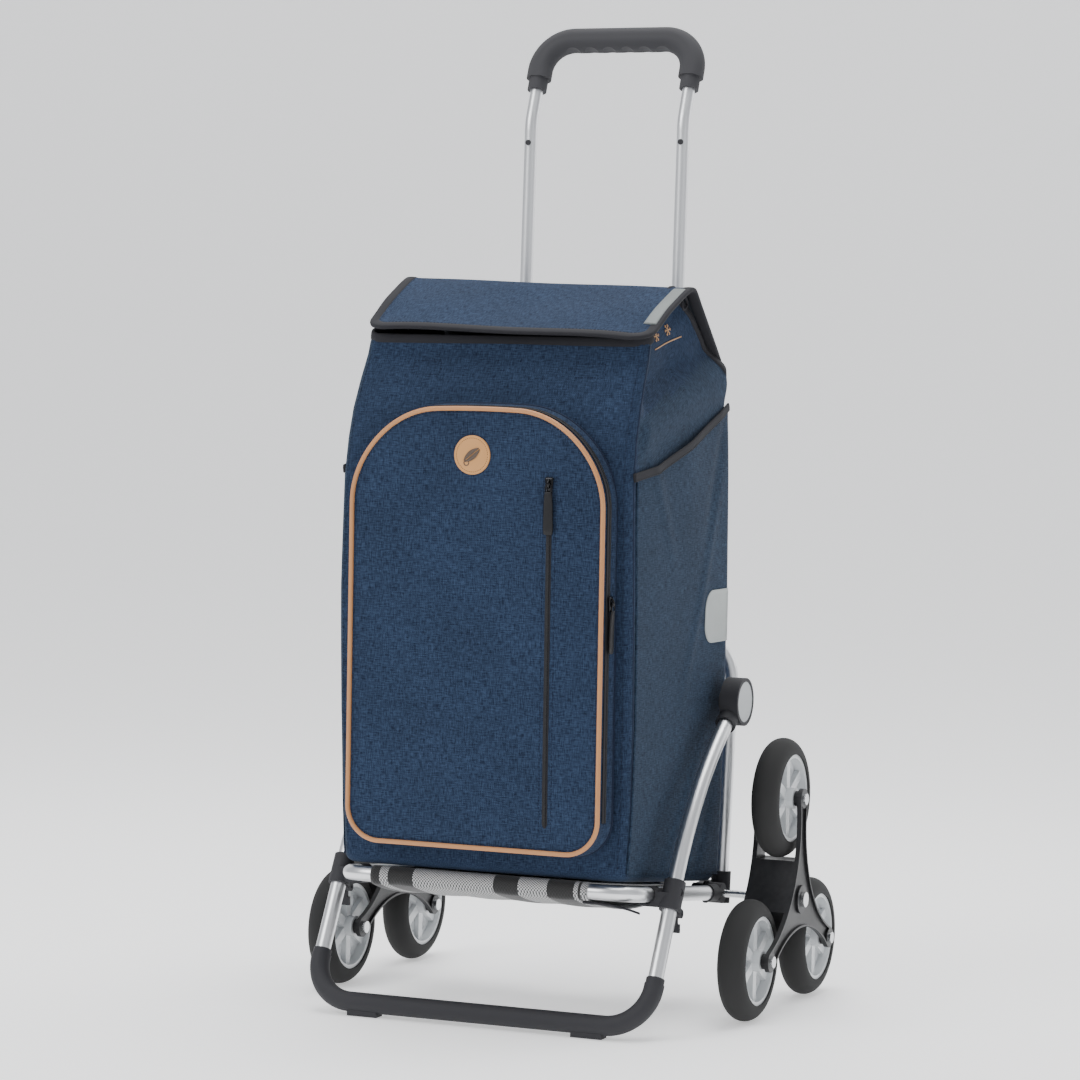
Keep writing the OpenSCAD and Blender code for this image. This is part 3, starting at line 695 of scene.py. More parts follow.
@dataclass(frozen=True)
class Metal(Finish):
    """Drawn and anodised or plated metal."""

    colour: tuple = (0.80, 0.81, 0.82)
    roughness: float = 0.33
    draw: tuple = (1.0, 1.0, 0.02)

    def build(self, n: Nodes, shader: bpy.types.Node, where: bpy.types.NodeSocket) -> None:
        """See Finish.build."""
        lines = self.group(n, "brushed", where, Draw=self.draw)
        darker = tuple(0.86 * c for c in self.colour)
        base = n.blend(lines.outputs["Cloud"], self.colour, darker)
        fine = n.add(
            "MapRange",
            {
                "Value": lines.outputs["Line"],
                "To Min": self.roughness - 0.05,
                "To Max": self.roughness + 0.07,
            },
        )
        n.tree.links.new(base, shader.inputs["Base Color"])
        n.tree.links.new(fine.outputs[0], shader.inputs["Roughness"])
        shader.inputs["Metallic"].default_value = 1.0
        self.bump(n, shader, lines.outputs["Line"], 0.12, 0.00015)


@dataclass(frozen=True)
class Moulding(Finish):
    """Moulded plastic or rubber with grain, rubbed edges and a little dust low down."""

    colour: tuple = (0.012, 0.012, 0.013)
    roughness: float = 0.42
    worn: tuple = (0.10, 0.10, 0.105)
    wear: float = 0.25
    dust: float = 0.06
    grain: float = 900.0
    depth: float = 0.00012
    coat: float = 0.0
    shine: float = 0.28

    def build(self, n: Nodes, shader: bpy.types.Node, where: bpy.types.NodeSocket) -> None:
        """See Finish.build."""
        grain = self.group(n, "grain", where, Scale=self.grain)
        wear = self.group(n, "wear", where)
        cloudy = n.blend(grain.outputs["Cloud"], self.colour, tuple(1.5 * c for c in self.colour))
        edged = n.blend(n.maths("MULTIPLY", wear.outputs["Edge"], self.wear, clamp=True), cloudy, self.worn)
        dusty = n.blend(
            n.maths("MULTIPLY", wear.outputs["Dust"], self.dust, clamp=True), edged, (0.32, 0.30, 0.27)
        )
        n.tree.links.new(dusty, shader.inputs["Base Color"])
        gloss = n.add(
            "MapRange", {
                "Value": grain.outputs["Cloud"],
                "To Min": self.roughness - 0.06,
                "To Max": self.roughness + 0.1,
            }
        )
        n.tree.links.new(gloss.outputs[0], shader.inputs["Roughness"])
        shader.inputs["Coat Weight"].default_value = self.coat
        shader.inputs["Specular IOR Level"].default_value = self.shine
        self.bump(n, shader, grain.outputs["Height"], 0.35, self.depth)


@dataclass(frozen=True)
class Cloth(Finish):
    """Woven fabric of two thread colours."""

    space: Space = Space.CLOTH
    dark: tuple = (0.007, 0.013, 0.030)
    pale: tuple = (0.033, 0.056, 0.106)
    fleck: float = 1.0
    pitch: float = 2600.0
    depth: float = 0.00025
    sheen: float = 0.03
    roughness: float = 0.86

    def build(self, n: Nodes, shader: bpy.types.Node, where: bpy.types.NodeSocket) -> None:
        """See Finish.build."""
        weave = self.group(n, "weave", where, Pitch=self.pitch, Fleck=self.fleck)
        threads = n.blend(weave.outputs["Fleck"], self.dark, self.pale)
        slow = n.ramp(weave.outputs["Cloud"], [(0.3, 0.88), (0.7, 1.08)])
        n.tree.links.new(n.blend(1.0, threads, slow, "MULTIPLY"), shader.inputs["Base Color"])
        shader.inputs["Roughness"].default_value = self.roughness
        shader.inputs["Sheen Weight"].default_value = self.sheen
        shader.inputs["Sheen Roughness"].default_value = 0.5
        shader.inputs["Specular IOR Level"].default_value = 0.12
        height = n.maths("ADD", n.maths("MULTIPLY", weave.outputs["Height"], 0.5), weave.outputs["Fleck"])
        self.bump(n, shader, height, 0.35, self.depth)


@dataclass(frozen=True)
class Webbing(Finish):
    """Ribbed tape, binding or strap."""

    space: Space = Space.CLOTH
    colour: tuple = (0.010, 0.010, 0.011)
    pale: tuple = (0.028, 0.028, 0.030)
    ribs: float = 4200.0
    roughness: float = 0.7

    def build(self, n: Nodes, shader: bpy.types.Node, where: bpy.types.NodeSocket) -> None:
        """See Finish.build."""
        weave = self.group(n, "weave", where, Pitch=self.ribs, Fleck=0.6)
        n.tree.links.new(
            n.blend(weave.outputs["Fleck"], self.colour, self.pale), shader.inputs["Base Color"]
        )
        shader.inputs["Roughness"].default_value = self.roughness
        shader.inputs["Sheen Weight"].default_value = 0.02
        shader.inputs["Specular IOR Level"].default_value = 0.2
        self.bump(n, shader, weave.outputs["Height"], 0.5, 0.0003)


@dataclass(frozen=True)
class Striped(Finish):
    """Sling weave: stripes along X, with fine checks inside the grey ones."""

    stripes: tuple = ()
    low: float = -0.124
    high: float = 0.119

    def build(self, n: Nodes, shader: bpy.types.Node, where: bpy.types.NodeSocket) -> None:
        """See Finish.build."""
        split = n.add("SeparateXYZ", {"Vector": where})
        place = n.add(
            "MapRange", {"Value": split.outputs["X"], "From Min": self.low, "From Max": self.high}
        )
        stops, at = [], 0.0
        whole = sum(width for width, _ in self.stripes)
        for width, grey in self.stripes:
            stops.append((at / whole, 0.012 if not grey else 0.52))
            at += width
        mask = n.ramp(place.outputs[0], stops, step=True)
        across = n.maths("SINE", n.maths("MULTIPLY", split.outputs["X"], 1900.0))
        along = n.maths(
            "ADD",
            n.maths("MULTIPLY", split.outputs["Y"], 1900.0),
            n.maths("MULTIPLY", split.outputs["Z"], 1900.0),
        )
        check = n.maths("MULTIPLY", across, n.maths("SINE", along))
        square = n.add(
            "MapRange", {"Value": check, "From Min": -0.15, "From Max": 0.15, "To Min": 0.10, "To Max": 1.0}
        )
        n.tree.links.new(n.blend(1.0, mask, square.outputs[0], "MULTIPLY"), shader.inputs["Base Color"])
        shader.inputs["Roughness"].default_value = 0.75
        shader.inputs["Sheen Weight"].default_value = 0.2
        self.bump(n, shader, check, 0.4, 0.0003)


@dataclass(frozen=True)
class Leather(Finish):
    """Tan leather or leather-look piping with pores and paler rubbed spots."""

    colour: tuple = (0.53, 0.235, 0.085)
    pale: tuple = (0.66, 0.33, 0.14)
    roughness: float = 0.5

    def build(self, n: Nodes, shader: bpy.types.Node, where: bpy.types.NodeSocket) -> None:
        """See Finish.build."""
        grain = self.group(n, "grain", where, Scale=1500.0)
        n.tree.links.new(
            n.blend(grain.outputs["Cloud"], self.colour, self.pale), shader.inputs["Base Color"]
        )
        gloss = n.add(
            "MapRange",
            {
                "Value": grain.outputs["Cloud"],
                "To Min": self.roughness - 0.08,
                "To Max": self.roughness + 0.1,
            },
        )
        n.tree.links.new(gloss.outputs[0], shader.inputs["Roughness"])
        self.bump(n, shader, grain.outputs["Height"], 0.4, 0.0002)


ALUMINIUM = Metal("aluminium_tube", colour=(0.83, 0.84, 0.85), roughness=0.34)
DRAWN_ACROSS = Metal("aluminium_axle", colour=(0.78, 0.79, 0.80), roughness=0.24, draw=(0.02, 1.0, 1.0))
PLATED = Metal("zinc_plated_steel", colour=(0.72, 0.73, 0.74), roughness=0.22, draw=(1.0, 1.0, 1.0))
BLACK = Moulding("black_moulding")
SPIDER_BLACK = Moulding("spider_moulding", colour=(0.010, 0.010, 0.011), roughness=0.36, dust=0.05)
GRIP = Moulding("grip_rubber", colour=(0.022, 0.023, 0.025), roughness=0.52, wear=0.3, grain=1400.0)
TYRE = Moulding(
    "tyre_rubber", colour=(0.010, 0.010, 0.010), roughness=0.40, wear=0.1, dust=0.06, grain=600.0
)
RIM = Moulding(
    "rim_plastic",
    colour=(0.40, 0.41, 0.42),
    roughness=0.30,
    worn=(0.6, 0.6, 0.6),
    dust=0.15,
    depth=0.00004,
    coat=0.4,
)
CAP = Moulding(
    "grey_cap", colour=(0.30, 0.32, 0.33), roughness=0.32, worn=(0.55, 0.56, 0.57), dust=0.0, coat=0.3
)
NAVY = Cloth("navy_melange")
# Copy of the navy cloth for the side walls, less blue and with darker dark threads: painted shade on the
# sides, which are the same cloth as the front.
NAVY_PAINTED_SHADE = Cloth("navy_melange_painted_shade", dark=(0.006, 0.012, 0.026), pale=(0.034, 0.058, 0.098))
LINING = Cloth("inner_lining", dark=(0.010, 0.012, 0.016), pale=(0.022, 0.026, 0.032), fleck=0.5)
TAPE = Webbing("black_webbing")
ZIP_TEETH = Webbing("zip_teeth", ribs=5200.0, roughness=0.45)
THREAD = Webbing("navy_thread", colour=(0.006, 0.011, 0.030), pale=(0.012, 0.022, 0.055))
TAN_THREAD = Webbing("brown_thread", colour=(0.10, 0.045, 0.018), pale=(0.16, 0.07, 0.03))
PIPING = Leather("tan_piping", colour=(0.44, 0.19, 0.070), pale=(0.52, 0.25, 0.10))
BADGE = Leather("tan_leather", colour=(0.50, 0.25, 0.075), pale=(0.60, 0.33, 0.12))
BADGE_DARK = Leather("burnt_leather", colour=(0.07, 0.045, 0.03), pale=(0.10, 0.065, 0.045))
PRINT = Leather("copper_print", colour=(0.42, 0.22, 0.09), pale=(0.50, 0.28, 0.13))
REFLECTIVE = Moulding(
    "reflective_grey", colour=(0.13, 0.145, 0.142), roughness=0.45, worn=(0.4, 0.4, 0.4),
    wear=0.1, dust=0.0, grain=2200.0,
)
REFLECTIVE_EDGE = Moulding(
    "reflective_border", colour=(0.27, 0.29, 0.285), roughness=0.4, worn=(0.5, 0.5, 0.5),
    wear=0.1, dust=0.0, grain=2200.0,
)
SLIDER = Metal("black_slider", colour=(0.03, 0.03, 0.032), roughness=0.25)
PULL_RUBBER = Moulding(
    "pull_tab_rubber", colour=(0.006, 0.006, 0.007), roughness=0.40, wear=0.2, dust=0.0, grain=1800.0
)
SLING = Striped(
    "striped_sling",
    stripes=((10, 0), (9, 1), (27, 0), (87, 1), (27, 0), (31, 1), (28, 0), (4, 1), (3, 0), (7, 1)),
)


def dress(made: bpy.types.Object, *finishes: Finish) -> bpy.types.Object:
    """Puts finishes into an object's material slots.

    Args:
        made: the object.
        *finishes: one for each slot.

    Returns:
        The same object.
    """
    made.data.materials.clear()
    for finish in finishes:
        made.data.materials.append(finish.material())
    return made


# ---------- the bag ----------


@dataclass
class BagShape:
    """Outer surface of the bag's walls, as formulas in metres that the pieces on it share."""

    axle_y: float
    base: float = 0.158
    rim_front: float = 0.706
    rim_back: float = 0.668
    ridge: float = 0.762
    ridge_y: float = -0.100
    slope: float = 0.1192
    heights: Array = field(
        default_factory=lambda: np.array([157, 221, 316, 446, 562, 600, 630, 660, 687, 706, 767]) * MM
    )
    fronts: Array = field(
        default_factory=lambda: np.array(
            [-245, -247, -250, -252, -252, -247, -238, -224, -209, -203, -203]
        ) * MM
    )
    halves: Array = field(
        default_factory=lambda: np.array(
            [163, 166, 168, 168.5, 167, 166, 165.5, 164, 162.5, 161.5, 160]
        ) * MM
    )
    taper: float = 0.027
    lean: float = -0.0035
    back: float = 0.008

    def front(self, z: Array) -> Array:
        """Distance of the front wall from the axle, along Y, at a height."""
        return np.interp(z, self.heights, self.fronts)

    def half(self, z: Array) -> Array:
        """Half the width at a height."""
        return np.interp(z, self.heights, self.halves)

    def ring(self, count: int) -> Array:
        """Unit section: a square from -1 to 1 with rounded corners, as numbers in both directions.

        The points run round from the middle of the back by way of +X; corner radii are shares of
        half the width and half the depth, smaller at the front, where the seams are.

        Args:
            count: points round the section.

        Returns:
            (count, 2) of (across, depth), depth 1 at the front.
        """
        turn = np.linspace(0, np.pi / 2, 16)
        front, rear = 0.075, 0.12
        parts = [np.array([[0.0, -1.0]])]
        for cx, cy, r, start in (
            (1 - rear, -1 + rear * 1.25, rear, -np.pi / 2),
            (1 - front, 1 - front * 1.25, front, 0.0),
            (-1 + front, 1 - front * 1.25, front, np.pi / 2),
            (-1 + rear, -1 + rear * 1.25, rear, np.pi),
        ):
            parts.append(
                np.stack([cx + r * np.cos(start + turn), cy + 1.25 * r * np.sin(start + turn)], axis=1)
            )
        parts.append(np.array([[0.0, -1.0]]))
        return even(np.concatenate(parts), count, closed=True)

    def place(self, across: Array, depth: Array, z: Array) -> Array:
        """Point of the undisturbed wall.

        x = across * half(z), less the taper and moved by the lean towards the front; y runs from
        the back at depth -1 to the front at depth 1.

        Args:
            across: share of half the width.
            depth: -1 at the back to 1 at the front.
            z: height.

        Returns:
            (..., 3) points; y is measured from the axle.
        """
        front = self.front(z)
        middle, reach = (front + self.back) / 2, (self.back - front) / 2
        ahead = (depth + 1) / 2
        x = across * self.half(z) * (1 - self.taper * ahead) + self.lean * ahead
        return np.stack(np.broadcast_arrays(x, middle - depth * reach, z), axis=-1)

    def rim(self, depth: Array) -> Array:
        """Height of the open edge: it climbs along both roof lines to the ridge.

        Args:
            depth: -1 at the back to 1 at the front.

        Returns:
            Heights in metres.
        """
        front = self.front(np.array(0.706))
        y = (front + self.back) / 2 - depth * (self.back - front) / 2
        ahead = self.rim_front + (y - front) * (self.ridge - self.rim_front) / (self.ridge_y - front)
        behind = self.rim_back + (self.back - y) * (self.ridge - self.rim_back) / (self.back - self.ridge_y)
        return np.minimum(ahead, behind)

    def folds(self, p: Array) -> Array:
        """Moves points of the undisturbed wall into their folds and creases.

        Sides: above a line that climbs backwards the panel tucks in by a smoothstep, with a soft
        roll below the line; long creases are ridges a * exp(-(d / s)^2) along segments; all walls
        get a slow swell from products of sines.

        Args:
            p: (..., 3) points, y from the axle.

        Returns:
            The moved points.
        """
        x, y, z = p[..., 0], p[..., 1], p[..., 2]
        front = self.front(z)
        side = smoothstep(0.75, 0.955, np.abs(x) / self.half(z))
        behind = smoothstep(0.010, 0.030, y - front) * smoothstep(0.0, 0.03, self.back + 0.012 - y)
        line = np.interp(y, [-0.22, -0.13, 0.0], [0.628, 0.652, 0.684])
        above = smoothstep(-0.004, 0.024, z - line)
        tuck = -0.017 * above * behind * (1 - 0.55 * smoothstep(-0.125, -0.055, y))
        roll = 0.0045 * np.exp(-(((z - line + 0.020) / 0.018) ** 2)) * behind
        creases = (
            ((-0.02, 0.560), (-0.115, 0.330), 0.0017, 0.008),
            ((-0.045, 0.300), (-0.150, 0.168), 0.0016, 0.007),
            ((0.000, 0.640), (-0.060, 0.500), -0.0022, 0.011),
            ((-0.215, 0.610), (-0.140, 0.470), 0.0013, 0.009),
            ((-0.020, 0.250), (-0.070, 0.160), -0.0015, 0.009),
            ((-0.180, 0.690), (-0.060, 0.735), 0.0030, 0.010),
            ((-0.165, 0.660), (-0.020, 0.700), -0.0030, 0.010),
        )
        crease = np.zeros_like(x)
        for (y0, z0), (y1, z1), high, wide in creases:
            along = np.array([y1 - y0, z1 - z0])
            t = np.clip(((y - y0) * along[0] + (z - z0) * along[1]) / (along @ along), 0, 1)
            d = np.hypot(y - y0 - t * along[0], z - z0 - t * along[1])
            crease = crease + high * np.exp(-((d / wide) ** 2)) * np.sin(np.pi * (0.08 + 0.84 * t))
        ripple = 0.0012 * np.sin(17 * y + 3.0) * np.sin(13 * z + np.sign(x))
        out = side * (tuck + roll + crease) + side * ripple
        face = smoothstep(0.0, 0.02, front + 0.03 - y) * smoothstep(1.0, 0.8, np.abs(x) / self.half(z))
        swell = 0.0016 * np.sin(9 * z + 0.7) * np.cos(11 * x + 0.4)
        swell = swell + 0.0011 * np.sin(31 * x + 6 * z) * smoothstep(0.60, 0.66, z)
        moved = p.copy()
        moved[..., 0] = x + np.sign(x) * out
        moved[..., 1] = y - face * swell
        drop = (y - front) * self.slope * smoothstep(0.34, 0.16, z)
        moved[..., 2] = z - drop
        return moved

    def wall(self, across: Array, depth: Array, z: Array, proud: float = 0.0) -> Array:
        """Point of the folded wall in the part's frame, and proud of it if asked.

        The wall is evaluated at three near points; their cross product is the outward direction.

        Args:
            across: share of half the width.
            depth: -1 at the back to 1 at the front.
            z: height.
            proud: distance outside the wall.

        Returns:
            (..., 3) points in the part's frame.
        """
        p = self.folds(self.place(across, depth, z))
        if proud:
            across, depth, z = np.broadcast_arrays(
                np.asarray(across, float), np.asarray(depth, float), np.asarray(z, float)
            )
            up = self.folds(self.place(across, depth, z + 0.002)) - p
            flat = np.abs(depth) > np.abs(across)
            step = np.where(flat, -0.01 * np.sign(depth), 0.0), np.where(flat, 0.0, 0.01 * np.sign(across))
            beside = self.folds(self.place(across + step[0], depth + step[1], z)) - p
            p = p + proud * normalised(np.cross(up, beside))
        return p + np.array([0.0, self.axle_y, 0.0])

    def side_point(self, s: int, y: Array, z: Array, proud: float) -> Array:
        """Point on a side wall at a distance along Y from the axle.

        Args:
            s: 1 for the right wall, -1 for the left.
            y: distance from the axle.
            z: height.
            proud: distance outside the wall.

        Returns:
            (..., 3) points in the part's frame.
        """
        front = self.front(z)
        depth = ((front + self.back) / 2 - y) / ((self.back - front) / 2)
        p = self.wall(np.full_like(np.asarray(z, float), s), depth, z, 0.0)
        p[..., 0] += s * proud
        return p

    def front_point(self, x: Array, z: Array, proud: float) -> Array:
        """Point on the front wall at a distance across.

        Args:
            x: distance from the middle.
            z: height.
            proud: distance in front of the wall.

        Returns:
            (..., 3) points in the part's frame.
        """
        p = self.wall(x / self.half(z), np.ones_like(np.asarray(z, float)), z, 0.0)
        p[..., 1] -= proud
        return p


@dataclass
class Bag:
    """Main bag: walls with lining, bottom, seams, hem and stitched marks."""

    shape: BagShape
    columns: int = 260
    rows: int = 96
    wall: float = 0.0028

    def build(self) -> list:
        """Makes every piece of the bag.

        Returns:
            The pieces; the first stands for the bag's solid.
        """
        shell = self.shell()
        return [shell, *self.seams(), *self.mouth_binding(), *self.marks(), *self.gusset_print()]

    def shell(self) -> bpy.types.Object:
        """Walls and bottom in one surface, open at the top, with the lining as its inner side.

        Row v, column u: height = low + (rim(u) - low) * v; five rows round the bottom edge as a
        quarter circle of 9 mm and three shrink towards the middle of the base.

        Returns:
            The shell.
        """
        ring = self.shape.ring(self.columns)
        across, depth = ring[:, 0], ring[:, 1]
        top = self.shape.rim(depth)
        v = np.linspace(0, 1, self.rows)[:, None]
        r = 0.009
        low = self.shape.base + r
        z = low + (top[None] - low) * v
        walls = self.shape.folds(self.shape.place(across[None], depth[None], z))
        turn = np.linspace(0, np.pi / 2, 6)[1:][::-1]
        edge = []
        for a in turn:
            share = 1 - r * (1 - np.cos(a)) / self.shape.half(np.array(low))
            ringed = self.shape.folds(
                self.shape.place(across * share, depth * share, np.full_like(across, low))
            )
            ringed[:, 2] -= r * np.sin(a)
            edge.append(ringed)
        inner = []
        for share in (0.15, 0.5, 0.85):
            ringed = self.shape.folds(
                self.shape.place(across * share, depth * share, np.full_like(across, low))
            )
            ringed[:, 2] -= r + 0.002 * (1 - share)
            inner.append(ringed)
        points = np.concatenate(
            [np.array(inner), np.array(edge), walls]
        ) + np.array([0, self.shape.axle_y, 0])
        run = np.concatenate(
            [[0], np.cumsum(np.linalg.norm(np.diff(walls[self.rows // 2], axis=0), axis=1))]
        )
        climb = np.concatenate([low - r - np.linspace(0.12, 0.0, 8), low + 0.6 * v[:, 0]])
        uv = np.stack(np.broadcast_arrays(run[None], climb[:, None]), axis=-1)
        made = Mesher.grid("bag_shell", points, around=True, caps=(0,), flip=True, uv=uv)
        Mesher.thicken(made, self.wall)
        made.modifiers["wall"].material_offset = 2
        # Slot 1 is the darker, greyer copy of the navy cloth: painted shade for the side walls.
        dress(made, NAVY, NAVY_PAINTED_SHADE, LINING)
        middle = np.empty(len(made.data.polygons) * 3)
        made.data.polygons.foreach_get("center", middle)
        middle = middle.reshape(-1, 3)
        # Faces on the side walls, which get the painted shade copy of the cloth.
        shade_painted_sides = np.abs(middle[:, 0]) > self.shape.half(middle[:, 2]) - 0.008
        made.data.polygons.foreach_set("material_index", shade_painted_sides.astype(np.int32))
        return made

    def seam_line(self, s: int, count: int = 160) -> Array:
        """Corner seam beside the front panel, from the bottom to the lid.

        Args:
            s: side, 1 or -1.
            count: points on it.

        Returns:
            (count, 3) points just outside the wall.
        """
        z = np.linspace(self.shape.base + 0.006, 0.700, count)
        return self.shape.wall(np.full(count, s * 0.992), np.full(count, 0.925), z, 0.0004)

    def seams(self) -> list:
        """Corner seams with a row of stitches beside each, and the back seams.

        Returns:
            The pieces.
        """
        made = []
        for s, tag in ((1, "right"), (-1, "left")):
            line = self.seam_line(s)
            made.append(
                dress(
                    Mesher.sweep(f"front_seam_{tag}", line, (s * 0.8, -0.6, 0), 0.0011, 0.0010, sides=8),
                    THREAD,
                )
            )
            z = np.linspace(self.shape.base + 0.012, 0.690, 160)
            beside = self.shape.wall(np.full(160, s * 0.955), np.full(160, 1.0), z, 0.0)
            made.append(
                dress(
                    Mesher.stitches(f"seam_stitches_{tag}", beside, (0, -1, 0), 0.0042, 0.0030, 0.00032),
                    THREAD,
                )
            )
            back = self.shape.wall(
                np.full(160, s * 0.985), np.full(160, -0.90), np.linspace(0.170, 0.655, 160), 0.0003
            )
            made.append(
                dress(Mesher.sweep(f"back_seam_{tag}", back, (s, 0, 0), 0.0011, 0.0009, sides=8), THREAD)
            )
        return made

    def mouth_binding(self) -> list:
        """Black binding folded over the open edge of the walls.

        Returns:
            The binding.
        """
        ring = self.shape.ring(200)
        top = self.shape.rim(ring[:, 1])
        line = self.shape.wall(ring[:, 0], ring[:, 1], top - 0.003)
        centre = line.mean(axis=0)
        out = normalised((line - centre) * np.array([1.0, 1.0, 0.0]))
        made = Mesher.sweep(
            "mouth_binding",
            line - out * self.wall / 2,
            out,
            0.0055,
            self.wall / 2 + 0.0012,
            closed=True,
            power=0.6,
        )
        return [dress(made, TAPE)]

    def marks(self) -> list:
        """Two stitched rectangles on the upper front, where magnets are sewn in behind.

        Returns:
            The stitches.
        """
        made = []
        for tag, x0, x1 in (("right", 0.087, 0.120), ("left", -0.100, -0.068)):
            low, high = 0.667, 0.681
            corners = np.array([[x0, low], [x1, low], [x1, high], [x0, high], [x0, low]])
            line = even(corners, 90)
            made.append(
                dress(
                    Mesher.stitches(
                        f"magnet_stitches_{tag}",
                        self.shape.front_point(line[:, 0], line[:, 1], 0.0),
                        (0, -0.93, 0.36),
                        0.0036,
                        0.0027,
                        0.00033,
                    ),
                    THREAD,
                )
            )
        return made

    def gusset_print(self) -> list:
        """Printed marks on the tucked side panels: two six-armed frost stars over a plain bar.

        Each star is three bars crossed at 60 degrees with short barbs.

        Returns:
            The prints.
        """
        made = []
        for s, tag in ((1, "right"), (-1, "left")):
            strokes = [((-0.150, 0.6965), (-0.088, 0.7105), 0.0007)]
            for cy, cz in ((-0.1450, 0.7105), (-0.1180, 0.7170)):
                for k in range(6):
                    a = np.radians(60 * k + 12)
                    tip = (cy + 0.0062 * np.cos(a), cz + 0.0062 * np.sin(a))
                    strokes.append(((cy, cz), tip, 0.0006))
                    for barb in (-0.7, 0.7):
                        root = (cy + 0.0036 * np.cos(a), cz + 0.0036 * np.sin(a))
                        end = (root[0] + 0.0022 * np.cos(a + barb), root[1] + 0.0022 * np.sin(a + barb))
                        strokes.append((root, end, 0.0004))
            points, faces = [], []
            for (y0, z0), (y1, z1), half in strokes:
                t = np.linspace(0, 1, 8)
                y, z = y0 + (y1 - y0) * t, z0 + (z1 - z0) * t
                square = normalised(np.array([-(z1 - z0), y1 - y0])) * half
                first = self.shape.side_point(s, y + square[0], z + square[1], 0.0004)
                second = self.shape.side_point(s, y - square[0], z - square[1], 0.0004)
                base = sum(len(p) for p in points)
                points += [first, second]
                i = np.arange(7)
                quads = np.stack([base + i, base + i + 1, base + 9 + i, base + 8 + i], axis=1)
                faces += (quads if s > 0 else quads[:, ::-1]).tolist()
            print_piece = Mesher.make(f"gusset_print_{tag}", np.concatenate(points), faces)
            Mesher.thicken(print_piece, 0.0003)
            made.append(dress(print_piece, PRINT))
        return made


# ---------- what is sewn on the bag ----------


def patch(name: str, outline: Array, lift: Callable, border: float) -> bpy.types.Object:
    """Flat-cut piece laid on a surface: rings from its outline to its middle.

    Ring k is middle + (outline - middle) * t_k; the edge ring sits on the surface, the next ones
    rise to the piece's full height.

    Args:
        name: object name.
        outline: (n, 2) closed outline in the surface's two coordinates.
        lift: function of (n, 2) coordinates and a share of the height, giving (n, 3) points.
        border: share of the outline that the border takes.

    Returns:
        The piece: slot 0 is its border, slot 1 its middle.
    """
    middle = outline.mean(axis=0)
    shares = [0.1, 1.0, 1.0, 0.985, 1 - border, 1 - border - 0.01, 0.75, 0.45, 0.12]
    heights = [0.0, 0.0, 0.7, 1.0, 1.0, 0.8, 0.85, 0.9, 0.9]
    flat = np.array([middle + (outline - middle) * t for t in shares])
    points = np.array([lift(f, h) for f, h in zip(flat, heights)])
    made = Mesher.grid(name, points, around=True, caps=(0, -1), uv=flat)
    count = len(outline)
    index = np.ones(len(made.data.polygons), np.int32)
    border_bands = 4
    index[: border_bands * count] = 0
    made.data.polygons.foreach_set("material_index", index)
    return made


